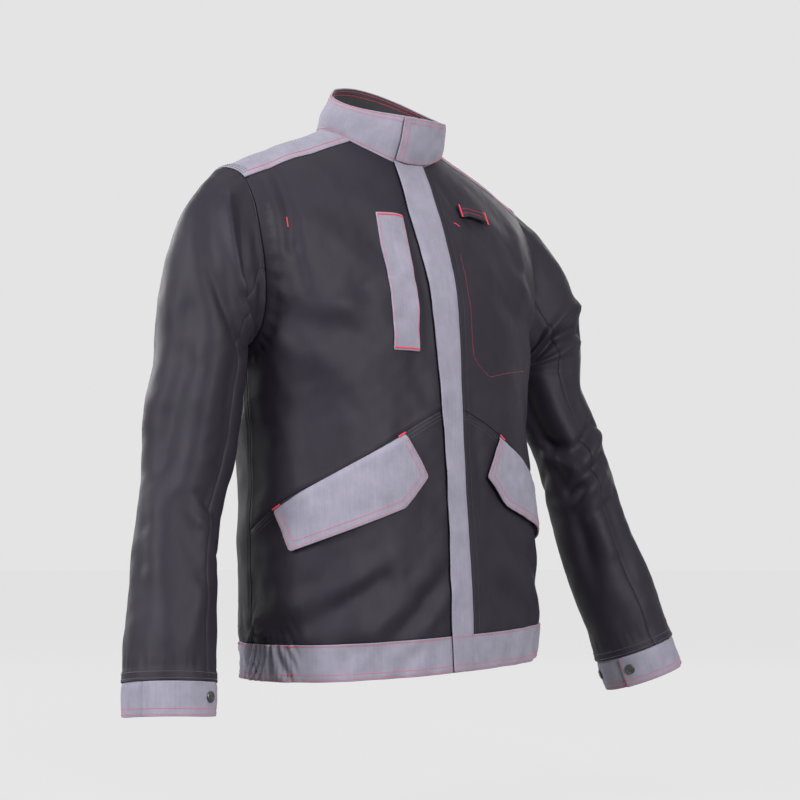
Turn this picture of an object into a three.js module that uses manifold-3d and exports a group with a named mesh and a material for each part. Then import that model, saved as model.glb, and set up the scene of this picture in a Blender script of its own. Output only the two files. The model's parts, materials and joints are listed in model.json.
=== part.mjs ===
// Two-tone work jacket for welding and metal work, closed, hanging in its worn shape. Millimetres, +Z up.
// The wearer faces -Y and the wearer's left is +X. Every shape is first laid out in the "hem frame"
// (z = 0 at the bottom of the front hem, y = 0 on the body's axis at the hem), and the whole jacket is then
// moved so that the origin is the middle of the hanger loop's gap at the nape.
import * as THREE from "three";
import { mergeVertices } from "three/addons/utils/BufferGeometryUtils.js";
import Module from "manifold-3d";

const wasm = await Module();
wasm.setup();

// ---------------------------------------------------------------- driving dimensions
const CLOTH = 1.5; // thickness of a shell panel with its seam allowance
const GAP = 0.5; // half of the gap left between two panels that are sewn together
const HEM_BAND = 44; // height of the hem band
const HANGER = [0, 73, 686]; // middle of the hanger loop's gap, in the hem frame
const SECTION_POWER = 2.35; // how square the body's horizontal section is
const SHOULDER_DROP_FRONT = 110; // height over which the chest curves up to the shoulder line
const SHOULDER_DROP_BACK = 70; // the same at the back
const COLLAR_BASE = { a: 86, b: 65, y: 20 }; // ellipse of the collar seam, seen from above
const COLLAR_TOP = { a: 78, b: 62, y: 0 }; // ellipse of the collar's upper edge
const COLLAR_TOP_Z = [706, 28, 9]; // height of the upper edge: side, slope front to back, curve
const FLAP_OFF = 3.0; // storm flap's inner face above the shell
const POCKET_FLAP_OFF = 3.2; // pocket flap's inner face above the shell
const SNAP_Z = [88, 205, 322, 440, 552]; // heights of the concealed front press studs
const SNAP_X = 13; // distance of the press studs from the centre front

// body half width, front depth, back depth and centre line by height
const WIDTH = table([[-20, 204], [0, 205], [48, 206], [150, 206], [300, 206], [400, 216], [480, 234], [560, 247], [600, 250], [720, 235]]);
const FRONT = table([[-20, 145], [0, 145], [48, 145], [150, 141], [300, 135], [420, 131], [490, 122], [546, 105], [600, 84], [640, 74], [720, 64]]);
const BACK = table([[-20, 118], [0, 118], [48, 120], [150, 116], [250, 112], [350, 116], [450, 122], [540, 118], [610, 102], [680, 84], [720, 78]]);
const AXIS_Y = table([[-20, 0], [0, 0], [150, 3], [300, 8], [400, 12], [520, 20], [640, 28], [720, 31]]);
// height of the shoulder line by distance from the centre
const SHOULDER = table([[0, 700], [40, 693], [75, 677], [100, 665], [152, 644], [208, 620], [248, 602], [260, 597]]);
// seam between the upper and lower front, by angle round the body: it carries the pocket flap
const POCKET_SEAM = table([[0, 322], [6, 316], [20.5, 290], [45.5, 242], [77, 201], [84, 190], [92, 177], [110, 177]]);
// storm flap's free edge and sewn edge by height
const FLAP_FREE = table([[0, -19], [42, -21], [205, -19], [300, -20], [400, -25], [500, -28], [560, -31], [628, -27]]);
const FLAP_SEAM = table([[0, 14], [42, 14], [205, 13], [400, 15], [500, 18], [628, 22]]);
// armhole outline as [y, z], from the shoulder tip forward, down to the armpit and up the back
const ARMHOLE = [[24, 605.5], [10, 601], [-2, 590], [-15, 570], [-25, 548], [-33, 515], [-36, 480], [-33, 445], [-22, 415], [-5, 397], [12, 391], [30, 396], [47, 412], [58, 440], [64, 475], [64, 515], [58, 548], [50, 572], [40, 592], [32, 602]];
// sleeves below the shoulder cap: centre x, y, z, half width across, half depth fore and aft
const SLEEVE = {
  right: [[-275, 19, 380, 54, 64], [-284, 20, 320, 55, 62], [-292, 18, 264, 55, 60], [-316, 5, 196, 48, 51], [-337, -14, 102, 49, 53], [-348, -27, 40, 51, 55], [-351, -31, 2, 52, 56]],
  left: [[272, 8, 380, 51, 60], [284, -8, 325, 48, 52], [293, -25, 285, 45, 47], [303, -38, 233, 45, 47], [313, -50, 172, 48, 50], [340, -75, 72, 52, 53], [356, -86, 18, 52, 53]],
};
const CUFF_LENGTH = 44;
// direction of each cuff's tab round the sleeve, in degrees from the side next to the body towards the front
const CUFF_TAB = { right: { root: 158, end: 60, stud: 73, spare: 8 }, left: { root: 112, end: 16, stud: 28, spare: -40 } };

// ---------------------------------------------------------------- colours
const CHARCOAL = { color: 0x46434b, roughness: 0.82, metalness: 0 };
const GREY = { color: 0x94929e, roughness: 0.85, metalness: 0 };
const DARK_LINING = { color: 0x37353c, roughness: 0.9, metalness: 0 };
const STUD = { color: 0x17171a, roughness: 0.42, metalness: 0.7 };
const TAPE = { color: 0x2b2a2e, roughness: 0.95, metalness: 0 };
const LABEL = { color: 0xd9d7d0, roughness: 0.8, metalness: 0 };

// ---------------------------------------------------------------- helpers
// smooth interpolation through [x, y] pairs
function table(p) {
  const n = p.length, m = new Array(n);
  for (let i = 0; i < n; i++) {
    if (i === 0) m[i] = (p[1][1] - p[0][1]) / (p[1][0] - p[0][0]);
    else if (i === n - 1) m[i] = (p[i][1] - p[i - 1][1]) / (p[i][0] - p[i - 1][0]);
    else {
      const h0 = p[i][0] - p[i - 1][0], h1 = p[i + 1][0] - p[i][0];
      m[i] = (((p[i][1] - p[i - 1][1]) / h0) * h1 + ((p[i + 1][1] - p[i][1]) / h1) * h0) / (h0 + h1);
    }
  }
  return (x) => {
    x = Math.min(Math.max(x, p[0][0]), p[n - 1][0]);
    let i = 0;
    while (i < n - 2 && x > p[i + 1][0]) i++;
    const h = p[i + 1][0] - p[i][0], t = (x - p[i][0]) / h, t2 = t * t, t3 = t2 * t;
    return (2 * t3 - 3 * t2 + 1) * p[i][1] + (t3 - 2 * t2 + t) * h * m[i] + (-2 * t3 + 3 * t2) * p[i + 1][1] + (t3 - t2) * h * m[i + 1];
  };
}
const rad = (d) => (d * Math.PI) / 180;
const lerp = (a, b, t) => a + (b - a) * t;
const v3 = (x, y, z) => new THREE.Vector3(x, y, z);

// one closed solid from a grid of outer points and a grid of inner points; closed = the u direction meets itself
function slab(outer, inner, closedU = false) {
  const nu = outer.length, nv = outer[0].length, pos = [], idx = [];
  for (const g of [outer, inner]) for (const col of g) for (const p of col) pos.push(p.x, p.y, p.z);
  const O = (i, j) => (i % nu) * nv + j, I = (i, j) => nu * nv + (i % nu) * nv + j;
  const quad = (a, b, c, d) => idx.push(a, b, c, a, c, d);
  const cu = closedU ? nu : nu - 1;
  for (let i = 0; i < cu; i++)
    for (let j = 0; j < nv - 1; j++) {
      quad(O(i, j), O(i + 1, j), O(i + 1, j + 1), O(i, j + 1));
      quad(I(i, j), I(i, j + 1), I(i + 1, j + 1), I(i + 1, j));
    }
  for (let i = 0; i < cu; i++) {
    quad(O(i, 0), I(i, 0), I(i + 1, 0), O(i + 1, 0));
    quad(O(i, nv - 1), O(i + 1, nv - 1), I(i + 1, nv - 1), I(i, nv - 1));
  }
  if (!closedU)
    for (let j = 0; j < nv - 1; j++) {
      quad(O(0, j), O(0, j + 1), I(0, j + 1), I(0, j));
      quad(O(nu - 1, j), I(nu - 1, j), I(nu - 1, j + 1), O(nu - 1, j + 1));
    }
  const g = new THREE.BufferGeometry();
  g.setAttribute("position", new THREE.Float32BufferAttribute(pos, 3));
  g.setIndex(idx);
  return outward(g);
}
function signedVolume(g) {
  const p = g.attributes.position.array, ix = g.index.array;
  let v = 0;
  for (let i = 0; i < ix.length; i += 3) {
    const a = ix[i] * 3, b = ix[i + 1] * 3, c = ix[i + 2] * 3;
    v += p[a] * (p[b + 1] * p[c + 2] - p[b + 2] * p[c + 1]) - p[a + 1] * (p[b] * p[c + 2] - p[b + 2] * p[c]) + p[a + 2] * (p[b] * p[c + 1] - p[b + 1] * p[c]);
  }
  return v / 6;
}
// turn the faces round if they point inwards
function outward(g) {
  if (signedVolume(g) < 0) {
    const a = g.index.array;
    for (let i = 0; i < a.length; i += 3) [a[i + 1], a[i + 2]] = [a[i + 2], a[i + 1]];
  }
  return g;
}
function solid(g) {
  const c = g.index ? g.clone() : g.clone();
  for (const k of Object.keys(c.attributes)) if (k !== "position") c.deleteAttribute(k);
  const m = mergeVertices(c, 1e-4);
  return new wasm.Manifold(new wasm.Mesh({ numProp: 3, vertProperties: new Float32Array(m.attributes.position.array), triVerts: new Uint32Array(m.index.array) }));
}
function geometry(m) {
  const k = m.getMesh(), n = k.numProp, v = new Float32Array(k.numVert * 3);
  for (let i = 0; i < k.numVert; i++) v.set(k.vertProperties.subarray(i * n, i * n + 3), i * 3);
  const g = new THREE.BufferGeometry();
  g.setAttribute("position", new THREE.BufferAttribute(v, 3));
  g.setIndex(new THREE.BufferAttribute(new Uint32Array(k.triVerts), 1));
  return g;
}
// the biggest body of a solid, so that a sliver left by a cut is dropped
function largest(m) {
  return m.decompose().sort((a, b) => b.volume() - a.volume())[0];
}
// outline of [x, z] points pushed along Y from y0 to y1
function prismY(points, y0, y1) {
  const g = new THREE.ExtrudeGeometry(new THREE.Shape(points.map((p) => new THREE.Vector2(p[0], p[1]))), { depth: y1 - y0, bevelEnabled: false });
  g.rotateX(Math.PI / 2);
  g.translate(0, y1, 0);
  return solid(g);
}
// outline of [y, z] points pushed along X from x0 to x1
function prismX(points, x0, x1) {
  const g = new THREE.ExtrudeGeometry(new THREE.Shape(points.map((p) => new THREE.Vector2(p[0], p[1]))), { depth: x1 - x0, bevelEnabled: false });
  g.applyMatrix4(new THREE.Matrix4().makeBasis(v3(0, 1, 0), v3(0, 0, 1), v3(1, 0, 0)));
  g.translate(x0, 0, 0);
  return solid(g);
}
const box = (x0, x1, y0, y1, z0, z1) => prismY([[x0, z0], [x1, z0], [x1, z1], [x0, z1]], y0, y1);

// ---------------------------------------------------------------- the body's surface
// roundness of the shoulders: 0 on the shoulder line, 1 below the curve
function rise(x, z, back, off = 0) {
  const t = Math.min(Math.max((SHOULDER(Math.abs(x)) + off - z) / (back ? SHOULDER_DROP_BACK : SHOULDER_DROP_FRONT), 0), 1);
  return Math.sqrt(Math.max(0, 1 - (1 - t) * (1 - t)));
}
// point of the body at an angle (0 = centre front, 90 = wearer's left, 180 = centre back) and a height
function torso(phi, z, off = 0) {
  const s = Math.sin(rad(phi)), c = Math.cos(rad(phi));
  const r = Math.pow(Math.pow(Math.abs(s), SECTION_POWER) + Math.pow(Math.abs(c), SECTION_POWER), -1 / SECTION_POWER);
  const x = (WIDTH(z) + off) * s * r, back = c < 0;
  const b = (back ? BACK(z) : FRONT(z)) + off;
  return v3(x, AXIS_Y(z) - b * c * r * rise(x, z, back, off), z);
}
// the same surface by x and z, on the front or the back
function torsoXZ(x, z, back = false) {
  const u = Math.min(Math.abs(x) / WIDTH(z), 0.9995), v = Math.pow(1 - Math.pow(u, SECTION_POWER), 1 / SECTION_POWER);
  return v3(x, AXIS_Y(z) + (back ? BACK(z) : -FRONT(z)) * v * rise(x, z, back), z);
}
// a point pushed out along the surface's normal
function raised(f, a, b, off) {
  const e = 0.35, p = f(a, b), du = f(a + e, b).sub(f(a - e, b)), dv = f(a, b + e).sub(f(a, b - e));
  const n = du.cross(dv).normalize();
  const axis = v3(p.x, p.y - AXIS_Y(p.z), 0);
  if (n.dot(axis) < 0) n.negate();
  return p.addScaledVector(n, off);
}
// panel over a rectangle of (u, v), mapped to surface arguments by map(u, v); lies between two offsets
function panel(surface, map, nu, nv, offOuter, offInner) {
  const O = [], I = [];
  for (let i = 0; i <= nu; i++) {
    const co = [], ci = [];
    for (let j = 0; j <= nv; j++) {
      const [a, b] = map(i / nu, j / nv);
      co.push(raised(surface, a, b, offOuter));
      ci.push(raised(surface, a, b, offInner));
    }
    O.push(co);
    I.push(ci);
  }
  return slab(O, I);
}
// height of the shoulder line at an angle round the body
function ridge(phi, off) {
  let z = 620;
  for (let k = 0; k < 60; k++) z = lerp(z, SHOULDER(Math.abs(torso(phi, z, off).x)) + off, 0.5);
  return z;
}
// closed solid of everything inside the body's surface above z0
function bodySolid(off, z0, nPhi = 44, nZ = 16) {
  const pos = [], idx = [], zr = [];
  for (let i = 0; i < nPhi; i++) {
    const phi = (i * 360) / nPhi;
    const top = ridge(phi > 90 && phi <= 180 ? 180 - phi : phi > 180 && phi < 270 ? 540 - phi : phi, off);
    zr.push(top);
    for (let j = 0; j <= nZ; j++) {
      const w = j / nZ, z = lerp(z0, top, 1 - Math.pow(1 - w, 1.7));
      const p = j === nZ ? v3(torso(phi, top, off).x, AXIS_Y(top), top) : torso(phi, z, off);
      pos.push(p.x, p.y, p.z);
    }
  }
  const V = (i, j) => (i % nPhi) * (nZ + 1) + j;
  const c = pos.length / 3;
  pos.push(0, AXIS_Y(z0), z0);
  for (let i = 0; i < nPhi; i++) {
    for (let j = 0; j < nZ; j++) idx.push(V(i, j), V(i + 1, j), V(i + 1, j + 1), V(i, j), V(i + 1, j + 1), V(i, j + 1));
    idx.push(c, V(i + 1, 0), V(i, 0));
  }
  const g = new THREE.BufferGeometry();
  g.setAttribute("position", new THREE.Float32BufferAttribute(pos, 3));
  g.setIndex(idx);
  return solid(outward(mergeVertices(g, 1e-3)));
}
// height of the surface over a place seen from above, for the collar seam
function heightAt(x, y) {
  const back = y > AXIS_Y(660);
  let lo = 520, hi = SHOULDER(Math.abs(x));
  for (let k = 0; k < 50; k++) {
    const m = (lo + hi) / 2, d = torsoXZ(x, m, back).y - y;
    if (back ? d > 0 : d < 0) lo = m;
    else hi = m;
  }
  return lo;
}
// distance from the centre where the side of the body passes a [y, z] place
function sideAt(y, z) {
  const back = y > AXIS_Y(z);
  let lo = 120, hi = WIDTH(z) * 0.9999;
  for (let k = 0; k < 50; k++) {
    const m = (lo + hi) / 2, d = Math.abs(torsoXZ(m, z, back).y - AXIS_Y(z)) - Math.abs(y - AXIS_Y(z));
    if (d > 0) lo = m;
    else hi = m;
  }
  return lo;
}

// ---------------------------------------------------------------- assembling
const jacket = new THREE.Group();
const hemFrame = new THREE.Group();
hemFrame.position.set(-HANGER[0], -HANGER[1], -HANGER[2]);
jacket.add(hemFrame);
function add(name, geo, look, parent = hemFrame) {
  const g = geo instanceof THREE.BufferGeometry ? geo : geometry(largest(geo));
  if (g.index && !g.attributes.normal) g.computeVertexNormals();
  const m = new THREE.Mesh(g, new THREE.MeshStandardMaterial(look));
  m.name = name;
  parent.add(m);
  return m;
}
const sides = [["right", -1], ["left", 1]];

// ---------------------------------------------------------------- shell panels cut from one body surface
const shell = bodySolid(0, 30).subtract(bodySolid(-CLOTH, 20));
const SIDE_LINE = [[6, -40], [6, 0], [9, 150], [14, 300], [18, 400], [26, 520], [27, 800]];
const frontHalf = prismX([[-400, -40], ...SIDE_LINE.map(([y, z]) => [y - GAP, z]), [-400, 800]], -400, 400);
const backHalf = prismX([...SIDE_LINE.map(([y, z]) => [y + GAP, z]), [500, 800], [500, -40]], -400, 400);
const armholes = [prismX(ARMHOLE, -420, -150), prismX(ARMHOLE, 150, 420)];
// solid standing in the neck hole
const neckPlug = (() => {
  const O = [];
  for (let i = 0; i < 40; i++) {
    const t = (i * 2 * Math.PI) / 40;
    O.push([(COLLAR_BASE.a + 1.4) * Math.sin(t), COLLAR_BASE.y - (COLLAR_BASE.b + 1.4) * Math.cos(t)]);
  }
  const g = new THREE.ExtrudeGeometry(new THREE.Shape(O.map((p) => new THREE.Vector2(p[0], p[1]))), { depth: 260, bevelEnabled: false });
  g.translate(0, 0, 540);
  return solid(g);
})();
// what lies below the pocket seam at the front
const belowPocketSeam = (() => {
  const O = [], I = [];
  for (let i = 0; i <= 40; i++) {
    const phi = -110 + (i * 220) / 40, zt = POCKET_SEAM(Math.abs(phi)) + GAP, co = [], ci = [];
    for (let j = 0; j <= 8; j++) {
      const z = lerp(0, zt, j / 8);
      co.push(torso(phi, z, 14));
      ci.push(torso(phi, z, -14));
    }
    O.push(co);
    I.push(ci);
  }
  return solid(slab(O, I));
})();
const YOKE_FRONT = [[0, 682], [80, 652], [98, 645], [144, 627], [189, 609], [227, 591], [300, 560]];
const YOKE_BACK_Z = 575;
function aboveYokeLine(d) {
  return prismY([...YOKE_FRONT.map(([x, z]) => [-x, z + d]).reverse(), ...YOKE_FRONT.slice(1).map(([x, z]) => [x, z + d]), [300, 900], [-300, 900]], -400, 400);
}
for (const [side, s] of sides) {
  const half = s < 0 ? box(-400, -GAP - 0.3, -400, 400, 0, 900) : box(GAP + 0.3, 400, -400, 400, 0, 900);
  let p = shell.intersect(frontHalf).intersect(half).subtract(belowPocketSeam).subtract(aboveYokeLine(-GAP)).subtract(neckPlug);
  for (const a of armholes) p = p.subtract(a);
  add(side + "_front_upper", p, CHARCOAL);
  // lower front, below the pocket seam
  add(side + "_front_lower", panel((a, b) => torso(a, b), (u, v) => {
    const phi = s * lerp(0.25, 91.4, u);
    return [phi, lerp(HEM_BAND + 1, POCKET_SEAM(Math.abs(phi)) - GAP, v)];
  }, 14, 5, 0, -CLOTH), CHARCOAL);
}
{
  const below = box(-400, 400, -400, 400, HEM_BAND + 1, YOKE_BACK_Z - GAP);
  let p = shell.intersect(backHalf).intersect(below);
  for (const a of armholes) p = p.subtract(a);
  add("back_panel", p, CHARCOAL);
  let y = shell.intersect(frontHalf.intersect(aboveYokeLine(GAP)).add(prismX([[25, 640], [30, 640], [30, 800], [25, 800]], -400, 400)).add(backHalf.intersect(box(-400, 400, -400, 400, YOKE_BACK_Z + GAP, 900))));
  y = y.subtract(neckPlug);
  for (const a of armholes) y = y.subtract(a);
  add("shoulder_yoke", y, GREY);
}

// ---------------------------------------------------------------- hem band with side elastics
for (const [side, s] of sides) {
  add(side + "_hem_band", panel((a, b) => torso(a, b), (u, v) => [s * lerp(0.25, 91.4, u), lerp(0, HEM_BAND, v)], 14, 2, 0, -CLOTH), GREY);
  add(side + "_side_elastic", panel((a, b) => torso(a, b), (u, v) => [s * lerp(70, 112, u), lerp(7, HEM_BAND - 7, v)], 8, 1, -2.2, -4.2), DARK_LINING);
}
add("back_hem_band", panel((a, b) => torso(a, b), (u, v) => [lerp(92.2, 267.8, u), lerp(0, HEM_BAND, v)], 22, 2, 0, -CLOTH), GREY);

// ---------------------------------------------------------------- front closure
add("storm_flap", panel((a, b) => torsoXZ(a, b), (u, v) => {
  const z = lerp(3, 626, v);
  return [lerp(FLAP_FREE(z), FLAP_SEAM(z), u), z];
}, 3, 24, FLAP_OFF + 1.8, FLAP_OFF), GREY);
add("left_front_facing", panel((a, b) => torsoXZ(a, b), (u, v) => [lerp(2, 58, u), lerp(50, 618, v)], 3, 14, -2.3, -3.3), DARK_LINING);
add("right_fly_underlap", panel((a, b) => torsoXZ(a, b), (u, v) => [lerp(-34, 30, u), lerp(50, 606, v)], 3, 14, -7.6, -8.8), DARK_LINING);

// round piece standing on the body's surface, from a lathe profile of [radius, height]
function onSurface(profile, surface, a, b, segments = 12) {
  const g = new THREE.LatheGeometry(profile.map((p) => new THREE.Vector2(p[0], p[1])), segments);
  const p = raised(surface, a, b, 0), n = raised(surface, a, b, 1).sub(p).normalize();
  g.applyQuaternion(new THREE.Quaternion().setFromUnitVectors(v3(0, 1, 0), n));
  g.translate(p.x, p.y, p.z);
  return solidGeometry(g);
}
function solidGeometry(g) {
  for (const k of Object.keys(g.attributes)) if (k !== "position") g.deleteAttribute(k);
  return outward(dropThin(mergeVertices(g, 1e-3)));
}
// take out triangles that have lost a side, as a lathe leaves on its axis
function dropThin(g) {
  const a = g.index.array, keep = [];
  for (let i = 0; i < a.length; i += 3) if (a[i] !== a[i + 1] && a[i + 1] !== a[i + 2] && a[i] !== a[i + 2]) keep.push(a[i], a[i + 1], a[i + 2]);
  g.setIndex(keep);
  return g;
}
SNAP_Z.forEach((z, i) => {
  // socket ring under the left front, and the stud of the right front's underlap in it
  add("fly_socket_" + (i + 1), onSurface([[3.1, -5.2], [7, -5.2], [7, -3.9], [3.1, -3.9], [3.1, -5.2]], torsoXZ, SNAP_X, z), STUD);
  add("fly_stud_" + (i + 1), onSurface([[0, -7.1], [6, -7.1], [6, -5.6], [2.6, -5.6], [2.4, -4.1], [0, -4.1]], torsoXZ, SNAP_X, z), STUD);
});

// ---------------------------------------------------------------- collar
function collar(theta, v, off = 0) {
  const t = rad(theta), s = Math.sin(t), c = Math.cos(t);
  const bx = (COLLAR_BASE.a + off) * s, by = COLLAR_BASE.y - (COLLAR_BASE.b + off) * c;
  const bz = heightAt(COLLAR_BASE.a * s, COLLAR_BASE.y - COLLAR_BASE.b * c) + 1.5;
  const tx = (COLLAR_TOP.a + off) * s, ty = COLLAR_TOP.y - (COLLAR_TOP.b + off) * c, tz = COLLAR_TOP_Z[0] - COLLAR_TOP_Z[1] * c + COLLAR_TOP_Z[2] * c * c;
  const belly = 2.5 * Math.sin(Math.PI * v);
  return v3(lerp(bx, tx, v) + belly * s, lerp(by, ty, v) - belly * c, lerp(bz, tz, v));
}
function collarBand(t0, t1, v0, v1, nu, nv, offO, offI) {
  const O = [], I = [];
  for (let i = 0; i <= nu; i++) {
    const th = lerp(t0, t1, i / nu), co = [], ci = [];
    for (let j = 0; j <= nv; j++) {
      const v = lerp(v0, v1, j / nv);
      co.push(collar(th, v, offO));
      ci.push(collar(th, v, offI));
    }
    O.push(co);
    I.push(ci);
  }
  return slab(O, I);
}
add("collar_outer", collarBand(1, 359, 0, 1, 40, 2, 0, -1.4), GREY);
add("collar_lining", collarBand(3, 357, 0.03, 0.97, 40, 2, -1.9, -3.1), DARK_LINING);
add("collar_tab", collarBand(-17, 46, 0.05, 0.97, 14, 3, 4.5, 2.9), GREY);
add("collar_tab_hook", collarBand(-14, -5, 0.2, 0.82, 3, 3, 2.35, 1.75), TAPE);
add("collar_loop_tape", collarBand(-24, -3, 0.16, 0.86, 5, 3, 1.3, 0.6), TAPE);

// ---------------------------------------------------------------- chest pocket, radio loop, inner pocket
add("chest_pocket_welt", panel((a, b) => torsoXZ(a, b), (u, v) => {
  const z = lerp(387, 557, v);
  return [lerp(lerp(-87, -83, v), lerp(-49, -42, v), u), z];
}, 2, 8, 2.2, 0.5), GREY);
add("chest_pocket_bag", panel((a, b) => torsoXZ(a, b), (u, v) => [lerp(-166, -44, u), lerp(378, 548, v)], 6, 7, -5.6, -6.8), DARK_LINING);
add("left_inner_pocket", panel((a, b) => torsoXZ(a, b), (u, v) => [lerp(64, 160, u), lerp(368, 512, v)], 5, 6, -5.6, -6.8), DARK_LINING);

// frame standing on the surface at (x, z): X along the surface, Y up it, Z out of it, turned by a roll angle
function standOn(geo, x, z, off, roll = 0, back = false) {
  const f = (a, b) => torsoXZ(a, b, back);
  const p = raised(f, x, z, off), n = raised(f, x, z, off + 1).sub(p).normalize();
  const up = v3(0, 0, 1).addScaledVector(n, -n.z).normalize(), right = up.clone().cross(n).normalize();
  const m = new THREE.Matrix4().makeBasis(right, up, n);
  geo.applyMatrix4(new THREE.Matrix4().makeRotationZ(roll));
  geo.applyMatrix4(m);
  geo.translate(p.x, p.y, p.z);
  return geo;
}
const RADIO = { x: 84, z: 572, length: 52, width: 19, stand: 6.0 };
{
  const L = RADIO.length / 2, h = RADIO.stand;
  const prof = [[-L, 0.5], [-17, 0.7], [-13, h - 1.6], [13, h - 1.6], [17, 0.7], [L, 0.5], [L, 2.1], [18, 2.3], [14.4, h], [-14.4, h], [-18, 2.3], [-L, 2.1]];
  const g = new THREE.ExtrudeGeometry(new THREE.Shape(prof.map((p) => new THREE.Vector2(p[0], p[1]))), { depth: RADIO.width, bevelEnabled: false });
  g.translate(0, 0, -RADIO.width / 2);
  g.rotateX(Math.PI / 2);
  add("radio_loop", solidGeometry(standOn(g, RADIO.x, RADIO.z, 0.9, rad(-8))), CHARCOAL);
}

// ---------------------------------------------------------------- lower pockets: flap, tapes and bag
for (const [side, s] of sides) {
  const top = [[21, 286.5], [75.8, 198.5]], low = [[13, 235], [23, 198], [66.2, 151]];
  const flapMap = (u, v) => {
    const a = [lerp(top[0][0], top[1][0], u), lerp(top[0][1], top[1][1], u) + 4 * Math.sin(Math.PI * u) * -1];
    const k = 0.16, b = u < k ? [lerp(low[0][0], low[1][0], u / k), lerp(low[0][1], low[1][1], u / k)] : [lerp(low[1][0], low[2][0], (u - k) / (1 - k)), lerp(low[1][1], low[2][1], (u - k) / (1 - k))];
    return [s * lerp(a[0], b[0], v), lerp(a[1], b[1], v)];
  };
  const f = (a, b) => torso(a, b);
  const cols = [0, 0.08, 0.16, 0.27, 0.39, 0.51, 0.63, 0.76, 0.88, 1];
  const O = [], I = [];
  for (const u of cols) {
    const co = [], ci = [];
    for (let j = 0; j <= 3; j++) {
      const [a, b] = flapMap(u, j / 3);
      co.push(raised(f, a, b, POCKET_FLAP_OFF + 1.8));
      ci.push(raised(f, a, b, POCKET_FLAP_OFF));
    }
    O.push(co);
    I.push(ci);
  }
  add(side + "_pocket_flap", slab(O, I), GREY);
  const tape = (u, v) => flapMap(lerp(0.34, 0.62, u), lerp(0.42, 0.84, v));
  add(side + "_flap_hook_tape", panel(f, tape, 4, 1, POCKET_FLAP_OFF - 0.8, POCKET_FLAP_OFF - 1.5), TAPE);
  add(side + "_flap_loop_tape", panel(f, tape, 4, 1, 1.1, 0.4), TAPE);
  add(side + "_pocket_bag", panel(f, (u, v) => {
    const phi = lerp(18, 70, u);
    return [s * phi, lerp(72, POCKET_SEAM(phi) - 14, v)];
  }, 8, 4, -5.6, -6.8), DARK_LINING);
}

// ---------------------------------------------------------------- nape: hanger loop and blank care label
{
  const O = [], I = [];
  for (let i = 0; i <= 12; i++) {
    const s = i / 12, x = lerp(-32, 32, s), y = 72.6 - 5.2 * Math.sin(Math.PI * s), n = v3(0.42 * Math.cos(Math.PI * s), 1, 0).normalize();
    O.push([v3(x, y, HANGER[2] - 4), v3(x, y, HANGER[2] + 4)]);
    I.push([0, 1].map((k) => v3(x, y, HANGER[2] + (k ? 4 : -4)).addScaledVector(n, -1.5)));
  }
  add("hanger_loop", slab(O, I), CHARCOAL);
  const g = new THREE.BoxGeometry(38, 24, 0.8);
  add("care_label", solidGeometry(standOn(g, 0, 640, -6.5, 0, true)), LABEL);
}

// ---------------------------------------------------------------- sleeves
const RING = 30; // points round a sleeve
// ring of the armhole, a little inside its cut edge and proud of the body
function armholeRing(s) {
  const n = ARMHOLE.length, cy = 13, cz = 498, out = [];
  for (let i = 0; i < RING; i++) {
    const f = (i / RING) * n, k = Math.floor(f), t = f - k, P = (j) => ARMHOLE[(k + j + n) % n];
    const h = (c) => {
      const a = P(-1)[c], b = P(0)[c], d = P(1)[c], e = P(2)[c];
      return 0.5 * (2 * b + (d - a) * t + (2 * a - 5 * b + 4 * d - e) * t * t + (3 * b - 3 * d + e - a) * t * t * t);
    };
    let y = h(0), z = h(1);
    const l = Math.hypot(y - cy, z - cz);
    const x = sideAt(y, z);
    y -= ((y - cy) / l) * 2.2;
    z -= ((z - cz) / l) * 2.2;
    out.push(v3(s * (x + 3.0), y, z));
  }
  return out;
}
// elliptical ring: centre, half axis across, half axis fore and aft, direction of the sleeve
function ellipseRing(c, rx, ry, tangent, s) {
  const t = tangent.clone().normalize(), e1 = v3(s, 0, 0);
  e1.addScaledVector(t, -e1.dot(t)).normalize();
  const e2 = v3(0, -1, 0);
  e2.addScaledVector(t, -e2.dot(t)).addScaledVector(e1, -e2.dot(e1)).normalize();
  const out = [];
  for (let i = 0; i < RING; i++) {
    const a = (i / RING) * 2 * Math.PI;
    out.push(c.clone().addScaledVector(e1, rx * Math.cos(a)).addScaledVector(e2, ry * Math.sin(a)));
  }
  return out;
}
// span of the shoulder cap from the armpit, by the ring's lean
const CAP_SPAN = table([[0, 214], [16, 198], [32, 167], [50, 136], [70, 114], [90, 107]]);
function sleeveRings(side, s) {
  const rings = [armholeRing(s)], path = SLEEVE[side];
  for (const lean of [16, 32, 50, 70]) {
    const k = lean / 90, a = rad(lean), L = CAP_SPAN(lean);
    const pit = v3(s * (219 + 3 * k), lerp(12, path[0][1], k), 389 - 8 * k);
    const e = v3(s * Math.sin(a), 0, Math.cos(a));
    const c = pit.clone().addScaledVector(e, L / 2);
    const ring = [], arm = rings[0];
    const ry = lerp(52, path[0][4], Math.min(1, k * 1.25));
    for (let i = 0; i < RING; i++) {
      const t = (i / RING) * 2 * Math.PI;
      ring.push(c.clone().addScaledVector(e, (L / 2) * Math.cos(t)).add(v3(0, -ry * Math.sin(t), 0)));
    }
    const w = Math.max(0, 1 - lean / 40) * 0.55;
    ring.forEach((p, i) => {
      // keeps something of the armhole's own outline close to it
      const q = arm[i];
      p.y = lerp(p.y, q.y, w);
    });
    rings.push(ring);
  }
  path.forEach((q, i) => {
    const a = path[Math.max(0, i - 1)], b = path[Math.min(path.length - 1, i + 1)];
    const t = i === 0 ? v3(0, 0, -1) : v3(b[0] - a[0], b[1] - a[1], b[2] - a[2]);
    if (i === 1) t.lerp(v3(0, 0, -t.length()), 0.4);
    rings.push(ellipseRing(v3(q[0], q[1], q[2]), q[3], q[4], t, s));
  });
  return rings;
}
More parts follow.
